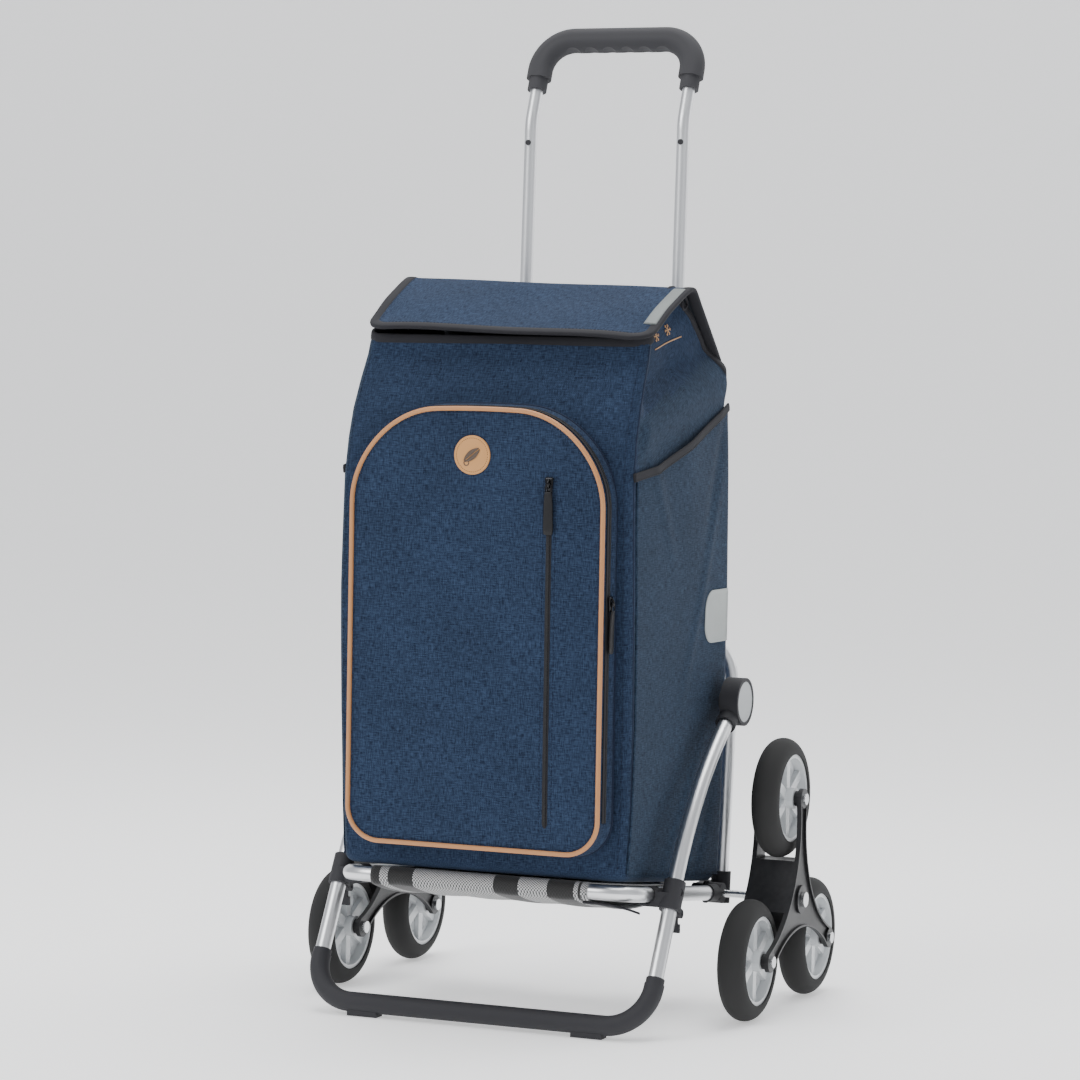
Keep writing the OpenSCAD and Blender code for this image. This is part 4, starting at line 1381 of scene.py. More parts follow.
@dataclass
class Pocket:
    """Zipped pocket on the front: box-shaped, with a piped face."""

    axle_y: float
    half: float = 0.1395
    low: float = 0.187
    high: float = 0.634
    r_low: float = 0.035
    r_high: float = 0.094
    crown: float = 0.009
    foot: float = -0.247
    face: float = -0.2775
    zip_x: float = 0.082
    zip_low: float = 0.212
    zip_high: float = 0.566

    def outline(self, count: int = 260) -> Array:
        """Outline as (x, z): a rounded box whose top edge falls by crown * (x / half)^2."""
        line = rounded_box_line(self.half, self.low, self.high, self.r_low, self.r_high, count)
        drop = self.crown * (line[:, 0] / self.half) ** 2 * smoothstep(0.45, self.high, line[:, 1])
        return np.stack([line[:, 0], line[:, 1] - drop], axis=1)

    def face_y(self, x: Array, z: Array) -> Array:
        """Depth of the face: a low dome with slow swells, in the part's frame.

        Args:
            x: distance from the middle.
            z: height.

        Returns:
            Y of the face.
        """
        across = np.abs(x) / self.half
        up = np.abs(z - (self.low + self.high) / 2) / ((self.high - self.low) / 2)
        dome = 0.0026 * (1 - np.clip(across, 0, 1) ** 4) * (1 - np.clip(up, 0, 1) ** 6)
        swell = 0.0006 * np.sin(19 * z + 2.0) * np.cos(23 * x) + 0.0004 * np.sin(41 * x + 9 * z)
        return self.axle_y + self.face - dome - swell * (1 - across**4)

    def on_face(self, x: Array, z: Array, proud: float = 0.0) -> Array:
        """Points of the face at x and z, a distance in front of it."""
        return np.stack([x, self.face_y(x, z) - proud, z], axis=-1)

    def offset(self, line: Array, by: float) -> Array:
        """Outline moved square to itself.

        Args:
            line: (n, 2) closed outline.
            by: distance outwards.

        Returns:
            (n, 2) moved points.
        """
        ahead = np.roll(line, -1, axis=0) - np.roll(line, 1, axis=0)
        out = normalised(np.stack([ahead[:, 1], -ahead[:, 0]], axis=1))
        return line + out * by

    def build(self) -> list:
        """Makes the pocket and all that is sewn to it.

        Returns:
            The pieces; the first stands for the pocket's solid, the second for the zip tapes.
        """
        return [self.shell(), self.front_tape(), *self.edges(), *self.zips()]

    def shell(self) -> bpy.types.Object:
        """Wall and face in one surface.

        Wall: nine rings from foot to face, moved out by 2.2 mm * sin(pi q) + 4.5 mm * (1 - q)
        and pinched at the zip; face: fourteen rings that shrink to the middle.

        Returns:
            The shell.
        """
        line = self.outline()
        rings, flats = [], []
        for q in np.linspace(0, 1, 9):
            pinch = -0.0022 * np.exp(-(((q - 0.60) / 0.16) ** 2))
            moved = self.offset(line, 0.0022 * np.sin(np.pi * q) + pinch + 0.0045 * (1 - q))
            y = np.full(len(line), self.axle_y + self.foot + (self.face + 0.0016 - self.foot) * q)
            rings.append(np.stack([moved[:, 0], y, moved[:, 1]], axis=1))
            flats.append(self.offset(line, 0.030 * (1 - q)))
        middle = np.array([0.0, (self.low + self.high) / 2])
        for t in (0.992, 0.98, 0.96, 0.93, 0.89, 0.84, 0.77, 0.69, 0.6, 0.5, 0.4, 0.3, 0.2, 0.1):
            flat = middle + (line - middle) * t
            rings.append(self.on_face(*flat.T))
            flats.append(flat)
        made = Mesher.grid(
            "front_pocket_shell", np.array(rings), around=True, caps=(-1,), uv=np.array(flats)
        )
        Mesher.thicken(made, 0.0016)
        return dress(made, NAVY)

    def edges(self) -> list:
        """Tan piping round the face, thread beside it, and the seam at the foot.

        Returns:
            The pieces.
        """
        line = self.outline(320)
        out = self.offset(line, 1.0) - line
        y = np.full(len(line), self.axle_y + self.face - 0.0008)
        cord = np.stack([line[:, 0], y, line[:, 1]], axis=1)
        facing = np.stack([out[:, 0], np.full(len(line), -1.0), out[:, 1]], axis=1)
        piping = dress(Mesher.sweep("pocket_piping", cord, facing, 0.0025, 0.0025, closed=True), PIPING)
        inner = self.offset(line, -0.0044)
        row = self.on_face(*inner.T)
        row = np.concatenate([row, row[:1]])
        thread = dress(Mesher.stitches("piping_stitches", row, (0, -1, 0), 0.0040, 0.0029, 0.0003), THREAD)
        outer = self.offset(line, 0.0050)
        foot = np.stack(
            [outer[:, 0], np.full(len(line), self.axle_y + self.foot - 0.0045), outer[:, 1]], axis=1
        )
        seam = dress(
            Mesher.sweep("pocket_foot_seam", foot, (0, -1, 0), 0.0012, 0.0012, closed=True, sides=8), THREAD
        )
        return [piping, thread, seam]

    def front_tape(self) -> bpy.types.Object:
        """Black tape showing in the slit of the upright zip, in the shape of a long slot.

        Returns:
            The tape.
        """
        z = np.linspace(self.zip_low, self.zip_high, 90)
        u = np.linspace(-1, 1, 7)
        wide = 0.0030 * np.minimum(1.0, np.minimum(z - self.zip_low, self.zip_high - z) / 0.002 + 0.3)
        x = self.zip_x + u[None] * wide[:, None]
        y = self.face_y(x, z[:, None]) - 0.0005 + 0.0003 * np.abs(u[None])
        points = np.stack(np.broadcast_arrays(x, y, z[:, None]), axis=-1)
        made = Mesher.grid("front_zip_tape", points, uv=points[..., [0, 2]])
        Mesher.thicken(made, 0.0004)
        return dress(made, TAPE)

    def zips(self) -> list:
        """Teeth and stitch rows of the upright zip, and the zip that opens the pocket's wall.

        Returns:
            The pieces.
        """
        z = np.linspace(self.zip_low + 0.002, self.zip_high - 0.002, 200)
        x = np.full_like(z, self.zip_x)
        teeth = self.on_face(x, z, 0.0008)
        made = [
            dress(Mesher.sweep("front_zip_teeth", teeth, (0, -1, 0), 0.0013, 0.0006, power=0.7), ZIP_TEETH)
        ]
        side, low, high = 0.0068, self.zip_low - 0.006, self.zip_high + 0.006
        box = np.array(
            [[-side, low], [side, low], [side, high], [-side, high], [-side, low]]
        ) + [self.zip_x, 0.0]
        box = even(box, 400)
        row = self.on_face(*box.T)
        made.append(
            dress(Mesher.stitches("front_zip_stitches", row, (0, -1, 0), 0.0038, 0.0028, 0.00034), THREAD)
        )
        line = self.outline(400)
        ends, clear = 30, 0.03
        run, out = (p[ends:-ends] for p in (line, self.offset(line, 1.0) - line))
        upper = run[run[:, 1] > self.low + clear]
        out = out[run[:, 1] > self.low + clear]
        facing = np.stack([out[:, 0], np.zeros(len(out)), out[:, 1]], axis=1)
        y = np.full(len(upper), self.axle_y - 0.2655)
        path = np.stack([upper[:, 0], y, upper[:, 1]], axis=1) + facing * 0.0022
        made.append(dress(Mesher.sweep("wall_zip_tape", path, facing, 0.0062, 0.0006, power=0.6), TAPE))
        made.append(
            dress(
                Mesher.sweep("wall_zip_teeth", path + facing * 0.0006, facing, 0.0018, 0.0008, power=0.7),
                ZIP_TEETH,
            )
        )
        return made


@dataclass
class ZipRunner:
    """Slider and pull of one zip, about its own place and facing."""

    tag: str
    box_low: Vector
    box_high: Vector
    facing: tuple
    slider_body: str
    pull_body: str

    def frame(self) -> tuple:
        """Origin on the zip and the three directions: across, out and up."""
        out = np.array(self.facing, float)
        across = np.cross(out, [0.0, 0.0, 1.0])
        low, high = np.array(self.box_low), np.array(self.box_high)
        centre = (low + high) / 2
        base = centre - out * (np.abs(out) @ (high - low)) / 2
        return base, across, out, np.array([0.0, 0.0, 1.0])

    def plate(self, name: str, rows: list, finish: Finish, power: float = 0.55) -> bpy.types.Object:
        """Solid lofted up through sections: each row is (height, half width, low out, high out).

        Args:
            name: object name.
            rows: the sections, from the bottom up.
            finish: its finish.
            power: less than 1 for fuller corners.

        Returns:
            The solid.
        """
        base, across, out, up = self.frame()
        a = np.linspace(0, 2 * np.pi, 20, endpoint=False)
        c = np.sign(np.cos(a)) * np.abs(np.cos(a)) ** power
        s = np.sign(np.sin(a)) * np.abs(np.sin(a)) ** power
        points = []
        for height, half, near, far in rows:
            mid, deep = (near + far) / 2, (far - near) / 2
            ring = base + up * height + across * (half * c)[:, None] + out * (mid + deep * s)[:, None]
            points.append(ring)
        return dress(Mesher.grid(name, np.array(points), around=True, caps=(0, -1)), finish)

    def build(self) -> dict:
        """Makes the slider and its pull.

        Returns:
            Body name to pieces.
        """
        h = 0.0080
        wedge = [
            (-h, 0.0020, 0.0002, 0.0016), (-h + 0.001, 0.0030, 0.0, 0.0022), (-0.001, 0.0036, 0.0, 0.0024)
        ]
        wedge += [
            (h - 0.002, 0.0047, 0.0, 0.0024), (h - 0.0004, 0.0044, 0.0, 0.0020), (h, 0.0034, 0.0004, 0.0014)
        ]
        slider = self.plate(f"{self.tag}_slider_shell", wedge, SLIDER)
        base, across, out, up = self.frame()
        arc = np.linspace(0, np.pi, 18)
        rise, reach = 0.0015 + 0.0042 * np.cos(arc), 0.0018 + 0.0030 * np.sin(arc)
        loop = base + up * rise[:, None] + out * reach[:, None]
        bridge = dress(
            Mesher.sweep(f"{self.tag}_slider_bridge", loop, tuple(across), 0.0008, 0.0013), SLIDER
        )
        ring = np.linspace(0, 2 * np.pi, 28, endpoint=False)
        eye = base + up * (
            -0.0035 + 0.0055 * np.cos(ring)
        )[:, None] + across * (0.0032 * np.sin(ring))[:, None] + out * 0.0042
        link = dress(
            Mesher.sweep(f"{self.tag}_pull_link", eye, tuple(out), 0.0007, 0.0007, closed=True, sides=8),
            SLIDER,
        )
        tab = [
            (-0.0500, 0.0030, 0.0016, 0.0034),
            (-0.0490, 0.0048, 0.0014, 0.0038),
            (-0.044, 0.0053, 0.0014, 0.0040),
        ]
        tab += [
            (-0.020, 0.0048, 0.0016, 0.0044),
            (-0.011, 0.0042, 0.0022, 0.0050),
            (-0.0075, 0.0036, 0.0026, 0.0052),
        ]
        tab += [(-0.0065, 0.0026, 0.0032, 0.0048)]
        pull = self.plate(f"{self.tag}_pull_tab", tab, PULL_RUBBER)
        return {self.slider_body: [slider, bridge], self.pull_body: [pull, link]}


@dataclass
class Badge:
    """Round leather badge with a plain leaf burnt into it."""

    pocket: Pocket
    x: float = -0.004
    z: float = 0.587
    r: float = 0.020

    def build(self) -> list:
        """Makes the disc, its stitches and the leaf.

        Returns:
            The pieces; the first stands for the badge's solid.
        """
        a = np.linspace(0, 2 * np.pi, 72, endpoint=False)
        ring = np.stack([np.cos(a), np.sin(a)], axis=1)
        rows = []
        for share, proud in (
            (0.3, 0.0001),
            (1.0, 0.0001),
            (1.0, 0.0011),
            (0.975, 0.0016),
            (0.93, 0.0017),
            (0.86, 0.0013),
            (0.80, 0.0017),
            (0.4, 0.0018),
            (0.05, 0.0018),
        ):
            flat = ring * self.r * share
            rows.append(self.on_face(flat, proud))
        disc = dress(Mesher.grid("leather_disc", np.array(rows), around=True, caps=(0, -1)), BADGE)
        circle = np.concatenate([ring, ring[:1]]) * self.r * 0.86
        sewn = Mesher.stitches(
            "badge_stitches", self.on_face(circle, 0.0013), (0, -1, 0), 0.0021, 0.0014, 0.00026
        )
        return [disc, dress(sewn, TAN_THREAD), *self.leaf()]

    def on_face(self, flat: Array, proud: float) -> Array:
        """Points of the badge's plane, in front of the pocket's face."""
        x, z = self.x + flat[:, 0], self.z + flat[:, 1]
        y = self.pocket.face_y(np.full_like(x, self.x), np.full_like(z, self.z)) - proud
        return np.stack([x, y, z], axis=1)

    def leaf(self) -> list:
        """Leaf between two arcs, split by its rib, over a small ring.

        Half width at share t of the length is 4.2 mm * sin(pi t)^0.8.

        Returns:
            The burnt marks.
        """
        made = []
        turn = np.radians(38)
        axis, across = np.array([np.cos(turn), np.sin(turn)]), np.array([-np.sin(turn), np.cos(turn)])
        t = np.linspace(0.02, 0.98, 24)
        for sign, tag in ((1, "upper"), (-1, "lower")):
            near = (0.022 * (t - 0.5))[:, None] * axis + sign * 0.0005 * across
            far = near + sign * (0.0042 * np.sin(np.pi * t) ** 0.8)[:, None] * across
            rows = np.array([self.on_face(near, 0.0021), self.on_face(far, 0.0021)])
            half = Mesher.grid(f"leaf_{tag}", rows, flip=sign > 0)
            Mesher.thicken(half, 0.0004)
            made.append(dress(half, BADGE_DARK))
        a = np.linspace(0, 2 * np.pi, 40, endpoint=False)
        ring = np.stack([-0.0060 + 0.0026 * np.cos(a), -0.0082 + 0.0026 * np.sin(a)], axis=1)
        loop = Mesher.sweep(
            "badge_ring", self.on_face(ring, 0.0018), (0, -1, 0), 0.0006, 0.0003, closed=True, sides=8
        )
        made.append(dress(loop, BADGE_DARK))
        return made


@dataclass
class SidePocket:
    """Open patch pocket on one side of the bag, with a bound edge that climbs backwards."""

    shape: BagShape
    s: int
    tag: str

    def edge(self, y: Array) -> Array:
        """Height of the bound edge at a distance from the axle."""
        return np.interp(y, [-0.250, -0.189, -0.106, 0.010], [0.5665, 0.575, 0.599, 0.639])

    def slack(self, y: Array, z: Array) -> Array:
        """How far the panel stands off the bag: most near the middle of its open edge.

        Args:
            y: distance from the axle.
            z: height.

        Returns:
            Distance in metres.
        """
        near = np.exp(-((self.edge(y) - z) / 0.05)) * np.sin(np.pi * np.clip((y + 0.245) / 0.25, 0, 1))
        ripple = 0.0006 * np.sin(60 * y + 14 * z) * np.exp(-((self.edge(y) - z) / 0.09))
        return 0.0012 + 0.0042 * near + ripple

    def build(self) -> list:
        """Makes the panel, its binding and its stitches.

        Returns:
            The pieces; the first is the panel.
        """
        y = np.linspace(-0.238, 0.001, 60)
        v = np.linspace(0, 1, 70)[:, None]
        z = 0.166 + (self.edge(y)[None] - 0.166) * v
        yy = np.broadcast_to(y[None], z.shape)
        points = self.shape.side_point(self.s, yy, z, 0.0)
        points[..., 0] += self.s * self.slack(yy, z)
        made = Mesher.grid(
            f"side_pocket_{self.tag}", points, flip=self.s < 0, uv=np.stack([yy, z], axis=-1)
        )
        Mesher.thicken(made, 0.0010)
        # The panel is the same navy cloth and wears its darker, greyer copy: painted shade on the side.
        dress(made, NAVY_PAINTED_SHADE)
        y = np.linspace(-0.2435, 0.0035, 120)
        line = self.shape.side_point(self.s, y, self.edge(y), 0.0)
        line[:, 0] += self.s * (self.slack(y, self.edge(y)) - 0.0004)
        binding = Mesher.sweep(f"side_binding_{self.tag}", line, (self.s, 0, 0), 0.0046, 0.0014, power=0.6)
        row = self.shape.side_point(self.s, y, self.edge(y) - 0.0032, 0.0)
        row[:, 0] += self.s * (self.slack(y, self.edge(y)) + 0.0009)
        sewn = Mesher.stitches(
            f"side_binding_stitches_{self.tag}", row, (self.s, 0, 0), 0.0036, 0.0026, 0.0003
        )
        return [made, dress(binding, TAPE), dress(sewn, TAPE)]


@dataclass
class Reflector:
    """Rounded reflective patch at the back of one side, with a paler border."""

    pocket: SidePocket
    front: float = -0.060
    back: float = 0.0015
    low: float = 0.388
    high: float = 0.444

    def build(self) -> bpy.types.Object:
        """Makes the patch: a rectangle with 20 mm corners at its front end.

        Returns:
            The patch.
        """
        turn = np.linspace(0, np.pi / 2, 14)
        r = 0.020
        parts = [np.array([[self.back, self.low], [self.back, self.high]])]
        for cz, start in ((self.high - r, np.pi / 2), (self.low + r, np.pi)):
            parts.append(
                np.stack([self.front + r + r * np.cos(start + turn), cz + r * np.sin(start + turn)], axis=1)
            )
        parts.append(np.array([[self.back, self.low]]))
        line = even(np.concatenate(parts), 110, closed=True)
        s = self.pocket.s

        def lift(flat: Array, share: float) -> Array:
            """Points over the side panel."""
            p = self.pocket.shape.side_point(s, flat[:, 0], flat[:, 1], 0.0)
            p[:, 0] += s * (0.0014 + 0.0009 * share)
            return p

        made = patch(f"reflector_{self.pocket.tag}", line[::s], lift, 0.09)
        return dress(made, REFLECTIVE_EDGE, REFLECTIVE)


@dataclass
class Lid:
    """Flap over the bag: hinged at the back, folded over the ridge and bound round its edge."""

    axle_y: float
    corner: float = 0.022
    thickness: float = 0.0030
    tilt: float = 0.0038

    def profile(self, s: Array) -> Array:
        """Side view (y, z) at shares of the length, from the front edge to the back."""
        points = np.array(
            [
                [-214, 719.5],
                [-202, 725],
                [-168, 741.5],
                [-128, 759.5],
                [-112, 766],
                [-102, 768.5],
                [-92, 765.5],
            ]
        )
        points = np.concatenate([points, [[-74, 750], [-40, 721], [-8, 693], [9, 673]]]) * MM
        line = through(points, 200)
        at = np.linspace(0, 1, 200)
        return np.stack([np.interp(s, at, line[:, k]) for k in range(2)], axis=-1)

    def half(self, s: Array) -> Array:
        """Half the width: narrowest at the front edge and widest at the ridge."""
        return np.interp(s, [0, 0.10, 0.42, 0.47, 1.0], [0.1545, 0.1555, 0.1585, 0.1590, 0.155])

    def at(self, across: Array, s: Array, proud: float = 0.0) -> Array:
        """Point of the lid at a share of its half width and of its length.

        The front corners are quarter circles: near the sides the length starts later by
        r - sqrt(r^2 - d^2), where d is how far the point is inside the corner. The whole flap
        falls to the right by tilt * (across + 1).

        Args:
            across: -1 to 1.
            s: 0 at the front edge to 1 at the back.
            proud: distance above the surface.

        Returns:
            (..., 3) points in the part's frame.
        """
        length = 0.33
        wide = self.half(s)
        d = np.clip(np.abs(across) * wide - (wide - self.corner), 0, self.corner)
        start = (self.corner - np.sqrt(np.maximum(self.corner**2 - d**2, 0))) / length
        s2 = start + (1 - start) * s
        side = self.profile(s2)
        x = across * self.half(s2)
        sag = 0.0020 * np.sin(np.pi * (x + 0.16) / 0.32 * 3) * np.exp(-(((s2 - 0.2) / 0.2) ** 2))
        sag = sag * (1 - np.abs(across) ** 4) - 0.0035 * np.abs(across) ** 6 * smoothstep(0.25, 0.05, s2)
        ahead = self.profile(np.clip(s2 + 0.004, 0, 1)) - self.profile(np.clip(s2 - 0.004, 0, 1))
        normal = normalised(np.stack([-ahead[..., 1], ahead[..., 0]], axis=-1))
        yz = side + normal * (sag + proud)[..., None]
        return np.stack([x, self.axle_y + yz[..., 0], yz[..., 1] - self.tilt * (across + 1)], axis=-1)

    def rim(self, count: int) -> tuple:
        """The bound edge: up the left side, round the front and back along the right.

        Args:
            count: points along it.

        Returns:
            The line and the directions away from the surface.
        """
        side = np.linspace(1, 0, 140)
        front = np.linspace(-1, 1, 260)[1:-1]
        u = np.concatenate([np.full_like(side, -1.0), front, np.full_like(side, 1.0)])
        s = np.concatenate([side, np.zeros_like(front), side[::-1]])
        line = self.at(u, s)
        above = self.at(u, s, 0.001)
        both = even(np.concatenate([line, above], axis=1), count)
        return both[:, :3], normalised(both[:, 3:] - both[:, :3])

    def build(self) -> list:
        """Makes the flap, its binding, the reflective end and the loop under it.

        Returns:
            The pieces; the first two stand for the lid's solids.
        """
        u = np.sin(np.linspace(-np.pi / 2, np.pi / 2, 80))[None]
        s = np.linspace(0, 1, 110)[:, None]
        uu, ss = np.broadcast_arrays(u, s)
        points = self.at(uu, ss)
        flap = Mesher.grid(
            "lid_flap_cloth", points, flip=False, uv=np.stack([points[..., 0], ss * 0.33], axis=-1)
        )
        Mesher.thicken(flap, self.thickness)
        flap.modifiers["wall"].material_offset = 1
        dress(flap, NAVY, LINING)
        line, out = self.rim(420)
        centre = line - out * self.thickness / 2
        binding = dress(
            Mesher.sweep("lid_edge_binding", centre, out, 0.0058, self.thickness / 2 + 0.0011, power=0.6),
            TAPE,
        )
        inner_u = np.concatenate(
            [np.full(100, -0.958), np.linspace(-0.958, 0.958, 180)[1:-1], np.full(100, 0.958)]
        )
        inner_s = np.concatenate(
            [np.linspace(0.98, 0.022, 100), np.full(178, 0.022), np.linspace(0.022, 0.98, 100)]
        )
        row = self.at(inner_u, inner_s, 0.0)
        sewn = dress(Mesher.stitches("lid_stitches", row, (0, -0.5, 0.86), 0.0040, 0.0029, 0.0003), THREAD)
        s = np.linspace(0.085, 0.40, 60)
        edge = self.at(np.full(60, 0.962), s, 0.0)
        above = normalised(self.at(np.full(60, 0.962), s, 0.001) - edge)
        strip = Mesher.sweep(
            "lid_reflective_strip", edge - above * 0.0012, above, 0.0075, 0.0030, power=0.55, sides=20
        )
        fold = np.linspace(0.0, 2 * np.pi, 30, endpoint=False)
        place = np.array([0.1525, self.axle_y - 0.097, 0.7450])
        ring = place + np.stack(
            [0 * fold, 0.0075 * np.cos(fold), 0.0062 * np.sin(fold) * (1 - 0.35 * np.cos(fold))], axis=1
        )
        loop = Mesher.sweep("lid_loop", ring, (1, 0, 0), 0.0012, 0.0012, closed=True, sides=8)
        return [flap, binding, sewn, dress(strip, REFLECTIVE), dress(loop, TAPE)]


@dataclass
class Sling:
    """Striped sling stretched from the front tube of the platform to its crossbar."""

    front: Vector
    back: Vector
    front_r: float = 0.0098
    back_r: float = 0.0068
    left: float = -0.124
    right: float = 0.119

    def belt(self, count: int = 120) -> Array:
        """Side view of the closed belt (y, z): round the front tube, back under with a sag, and over.

        Returns:
            (count, 2) points.
        """
        f, b = np.array([self.front[1], self.front[2]]), np.array([self.back[1], self.back[2]])
        along = (b - f) / np.linalg.norm(b - f)
        up = np.array([-along[1], along[0]])
        lean = np.arctan2(along[1], along[0])
        a = np.linspace(np.pi / 2, 3 * np.pi / 2, 20) + lean
        nose = f + self.front_r * np.stack([np.cos(a), np.sin(a)], axis=1)
        t = np.linspace(0.04, 0.96, 26)[:, None]
        sag = 0.011 * np.sin(np.pi * t) ** 0.8
        under = f + (b - f) * t - up * (self.front_r + (self.back_r - self.front_r) * t + sag)
        a = np.linspace(-np.pi / 2, np.pi / 2, 14) + lean
        tail = b + self.back_r * np.stack([np.cos(a), np.sin(a)], axis=1)
        over = b + (f - b) * t + up * (
            self.back_r + (self.front_r - self.back_r) * t - 0.0010 * np.sin(np.pi * t)
        )
        line = np.concatenate([nose, under, tail, over, nose[:1]])
        return even(line, count, closed=True)

    def build(self) -> list:
        """Makes the belt and the loose end of its strap.

        Returns:
            The pieces; the first stands for the sling's solid.
        """
        side = self.belt()
        x = np.linspace(self.left, self.right, 60)[:, None]
        ripple = 0.0005 * np.sin(120 * x + 5 * np.arange(len(side))[None] / len(side))
        y = side[None, :, 0] + 0 * x
        z = side[None, :, 1] + ripple * (side[None, :, 1] < self.front[2] - 0.004)
        points = np.stack(np.broadcast_arrays(x, y, z), axis=-1)
        belt = Mesher.grid("sling_belt", points, around=True, flip=False)
        Mesher.thicken(belt, 0.0015)
        dress(belt, SLING)
        f = self.front
        tail = np.array(
            [
                [0.112, f[1] + 0.001, f[2] - 0.0115],
                [0.135, f[1] + 0.004, f[2] - 0.0125],
                [0.155, f[1] + 0.007, f[2] - 0.0155],
                [0.170, f[1] + 0.009, f[2] - 0.0195],
            ]
        )
        strap = Mesher.sweep("sling_strap_end", through(tail, 40), (0, -0.3, -1), 0.0050, 0.0011, power=0.6)
        return [belt, dress(strap, TAPE)]


# ---------- frame and studio ----------


class FrameDress:
    """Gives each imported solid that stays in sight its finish."""

    finishes = {
        ALUMINIUM: ("uprights", "back_hoop", "handle_tubes", "stand_bow", "platform_tube"),
        DRAWN_ACROSS: ("axle", "platform_crossbar"),
        PLATED: ("axle_fasteners", "hinge_pins", "spider_bolts_l", "spider_bolts_r"),
        CAP: ("hinge_caps",),
        GRIP: ("grip",),
        SPIDER_BLACK: ("spider_l", "spider_r", "spider_plate_l", "spider_plate_r"),
    }

    def build(self, nodes: dict) -> None:
        """Dresses every node.

        Args:
            nodes: node name to object.
        """
        chosen = {name: finish for finish, names in self.finishes.items() for name in names}
        for name, node in nodes.items():
            finish = chosen.get(
                name, TYRE if name.startswith("tyre") else RIM if name.startswith("rim") else BLACK
            )
            dress(node, finish)
        LOG.info("dressed %d solids of the frame", len(nodes))


@dataclass
class Studio:
    """Camera, pale floor and soft lights."""

    eye: tuple = (1.563, -3.679, 0.709)
    right: tuple = (0.9180, 0.3962, 0.0176)
    up: tuple = (-0.0377, 0.0430, 0.9983)
    ahead: tuple = (-0.3948, 0.9172, -0.0544)
    lens: float = 125.1
    sky: float = 0.6
    glow: float = 0.5
    lamps: dict = field(
        default_factory=lambda: {
            "key": ((-1.6, -2.6, 2.6), (0, 0, 0.5), 2.0, 62.0),
            "fill": ((2.8, -1.4, 1.6), (0, 0, 0.5), 2.2, 4.0),
            "top": ((0.0, 0.4, 3.0), (0, 0, 0.4), 2.4, 95.0),
            "rim": ((1.8, 2.4, 1.8), (0, 0, 0.5), 1.6, 9.0),
        }
    )

    def build(self) -> None:
        """Makes the camera, the floor, the lights and the sky."""
        camera = bpy.data.cameras.new("camera")
        camera.lens, camera.sensor_width = self.lens, 36.0
        camera.clip_start, camera.clip_end = 0.05, 60.0
        body = bpy.data.objects.new("camera", camera)
        bpy.context.scene.collection.objects.link(body)
        axes = Matrix([self.right, self.up, [-a for a in self.ahead]]).transposed().to_4x4()
        body.matrix_world = Matrix.Translation(Vector(self.eye)) @ axes
        bpy.context.scene.camera = body
        self.floor()
        for name, (place, aim, size, power) in self.lamps.items():
            self.lamp(name, place, aim, size, power)
        world = bpy.data.worlds.new("studio")
        world.use_nodes = True
        ground = world.node_tree.nodes["Background"]
        ground.inputs["Color"].default_value = (0.93, 0.95, 1.0, 1.0)
        ground.inputs["Strength"].default_value = self.sky
        bpy.context.scene.world = world

    def floor(self) -> None:
        """Wide pale floor that curves up far behind the object."""
        profile = np.array(
            [[-12.0, -0.0005], [0.0, -0.0005], [3.0, -0.0005], [5.0, 0.35], [6.2, 1.8], [6.6, 6.0]]
        )
        line = np.concatenate([profile[:2], through(profile[1:], 40)[1:]])
        x = np.linspace(-14, 14, 3)
        points = np.stack(np.broadcast_arrays(x[None], line[:, :1], line[:, 1:]), axis=-1)
        ground = Mesher.grid("studio_floor", points)
        paper = bpy.data.materials.new("pale_paper")
        paper.use_nodes = True
        shader = paper.node_tree.nodes["Principled BSDF"]
        shader.inputs["Base Color"].default_value = (0.94, 0.94, 0.94, 1.0)
        shader.inputs["Roughness"].default_value = 0.9
        shader.inputs["Emission Color"].default_value = (1.0, 1.0, 1.0, 1.0)
        shader.inputs["Emission Strength"].default_value = self.glow
        ground.data.materials.append(paper)
        ground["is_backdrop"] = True

    @staticmethod
    def lamp(name: str, place: tuple, aim: tuple, size: float, power: float) -> None:
        """Square soft light.

        Args:
            name: its name.
            place: where it stands.
            aim: what it faces.
            size: side in metres.
            power: watts.
        """
        light = bpy.data.lights.new(name, "AREA")
        light.size, light.energy = size, power
        lamp = bpy.data.objects.new(name, light)
        bpy.context.scene.collection.objects.link(lamp)
        lamp.location = place
        lamp.rotation_euler = (Vector(aim) - Vector(place)).to_track_quat("-Z", "Y").to_euler()


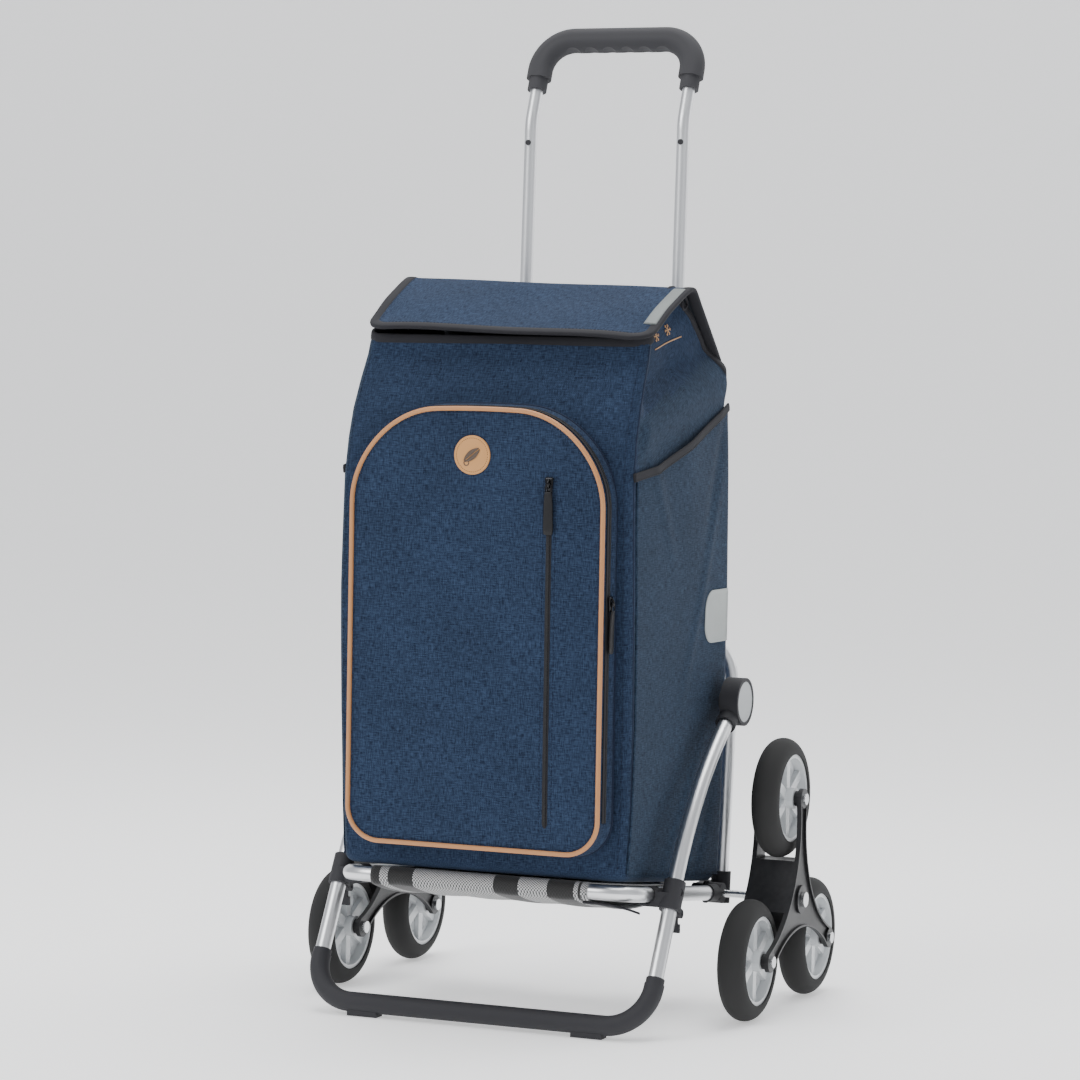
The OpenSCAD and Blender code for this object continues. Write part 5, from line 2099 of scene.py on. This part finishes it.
class Trolley:
    """Builds every piece, fixes it to the body that carries it and hides the solids that it stands for."""

    def __init__(self, frame: dict) -> None:
        """Reads the axle's place from the frame.
        """
        self.frame = frame
        low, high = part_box("axle")
        self.axle_y = (low[1] + high[1]) / 2
        self.shape = BagShape(self.axle_y)
        self.keep = 0.05

    def carry(
        self, pieces: list, body: str, stands_for: tuple = (), flatten: bool = True
    ) -> None:
        """Fixes pieces to a body.

        Args:
            pieces: the objects.
            body: the body's name.
            stands_for: solids that the first piece replaces.
            flatten: gives the piece its own copy of its mesh.
        """
        for piece in pieces:
            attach(piece, body)
            if flatten:
                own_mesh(piece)
            LOG.info("%s: %d faces on %s", piece.name, len(piece.data.polygons), body)
        if stands_for:
            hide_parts(*stands_for)

    def build(self) -> None:
        """Makes all the pieces in order."""
        FrameDress().build(self.frame["nodes"])
        bag = Bag(self.shape).build()
        self.carry(bag[:1], "back_frame", ("bag_body",))
        self.carry(bag[1:], "back_frame")
        pocket = Pocket(self.axle_y)
        pieces = pocket.build()
        self.carry(pieces[:1], "back_frame", ("front_pocket",))
        self.carry(pieces[1:2], "back_frame", ("zip_tapes",))
        self.carry(pieces[2:], "back_frame")
        self.carry(Badge(pocket).build(), "back_frame", ("leather_badge",))
        self.sides()
        lid = Lid(self.axle_y).build()
        self.carry(lid[:1], "lid", ("lid_panel",))
        self.carry(lid[1:2], "lid", ("lid_binding",))
        self.carry(lid[2:], "lid")
        self.runners()
        self.sling()

    def sides(self) -> None:
        """Side pockets and reflectors."""
        first = True
        for s, tag in ((1, "right"), (-1, "left")):
            pocket = SidePocket(self.shape, s, tag)
            pieces = pocket.build()
            self.carry(pieces[:1], "back_frame", ("side_pockets",) if first else ())
            self.carry(pieces[1:], "back_frame")
            self.carry(
                [Reflector(pocket).build()], "back_frame", ("reflectors",) if first else ()
            )
            first = False

    def runners(self) -> None:
        """Zip sliders and their pulls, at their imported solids."""
        for tag, facing in (("front_zip", (0, -1, 0)), ("side_zip", (1, 0, 0))):
            low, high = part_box(f"{tag}_slider")
            made = ZipRunner(tag, low, high, facing, f"{tag}_slider", f"{tag}_pull").build()
            for body, pieces in made.items():
                self.carry(pieces, body, (body,))

    def sling(self) -> None:
        """The platform's sling, from its packed ends."""
        tube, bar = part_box("platform_tube"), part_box("platform_crossbar")
        tube_r = 0.008
        front = Vector((0, tube[0][1] + tube_r, tube[1][2] - tube_r))
        back = Vector((0, (bar[0][1] + bar[1][1]) / 2, (bar[0][2] + bar[1][2]) / 2))
        pieces = Sling(front, back).build()
        self.carry(pieces[:1], "platform", ("sling",), flatten=False)
        self.carry(pieces[1:], "platform", flatten=False)


def corners(box: tuple) -> list:
    """A box as plain lists.

    Args:
        box: its lowest and highest corner.

    Returns:
        Two lists of three numbers.
    """
    return [list(map(float, corner)) for corner in box]


def main() -> None:
    """Loads the frame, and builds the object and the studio."""
    logging.basicConfig(level=logging.INFO, format="%(message)s")
    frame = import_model()
    packed = corners(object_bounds())
    Studio().build()
    Trolley(frame).build()
    {"packed": packed, "visual": corners(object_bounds())}


if __name__ == "__main__":
    main()
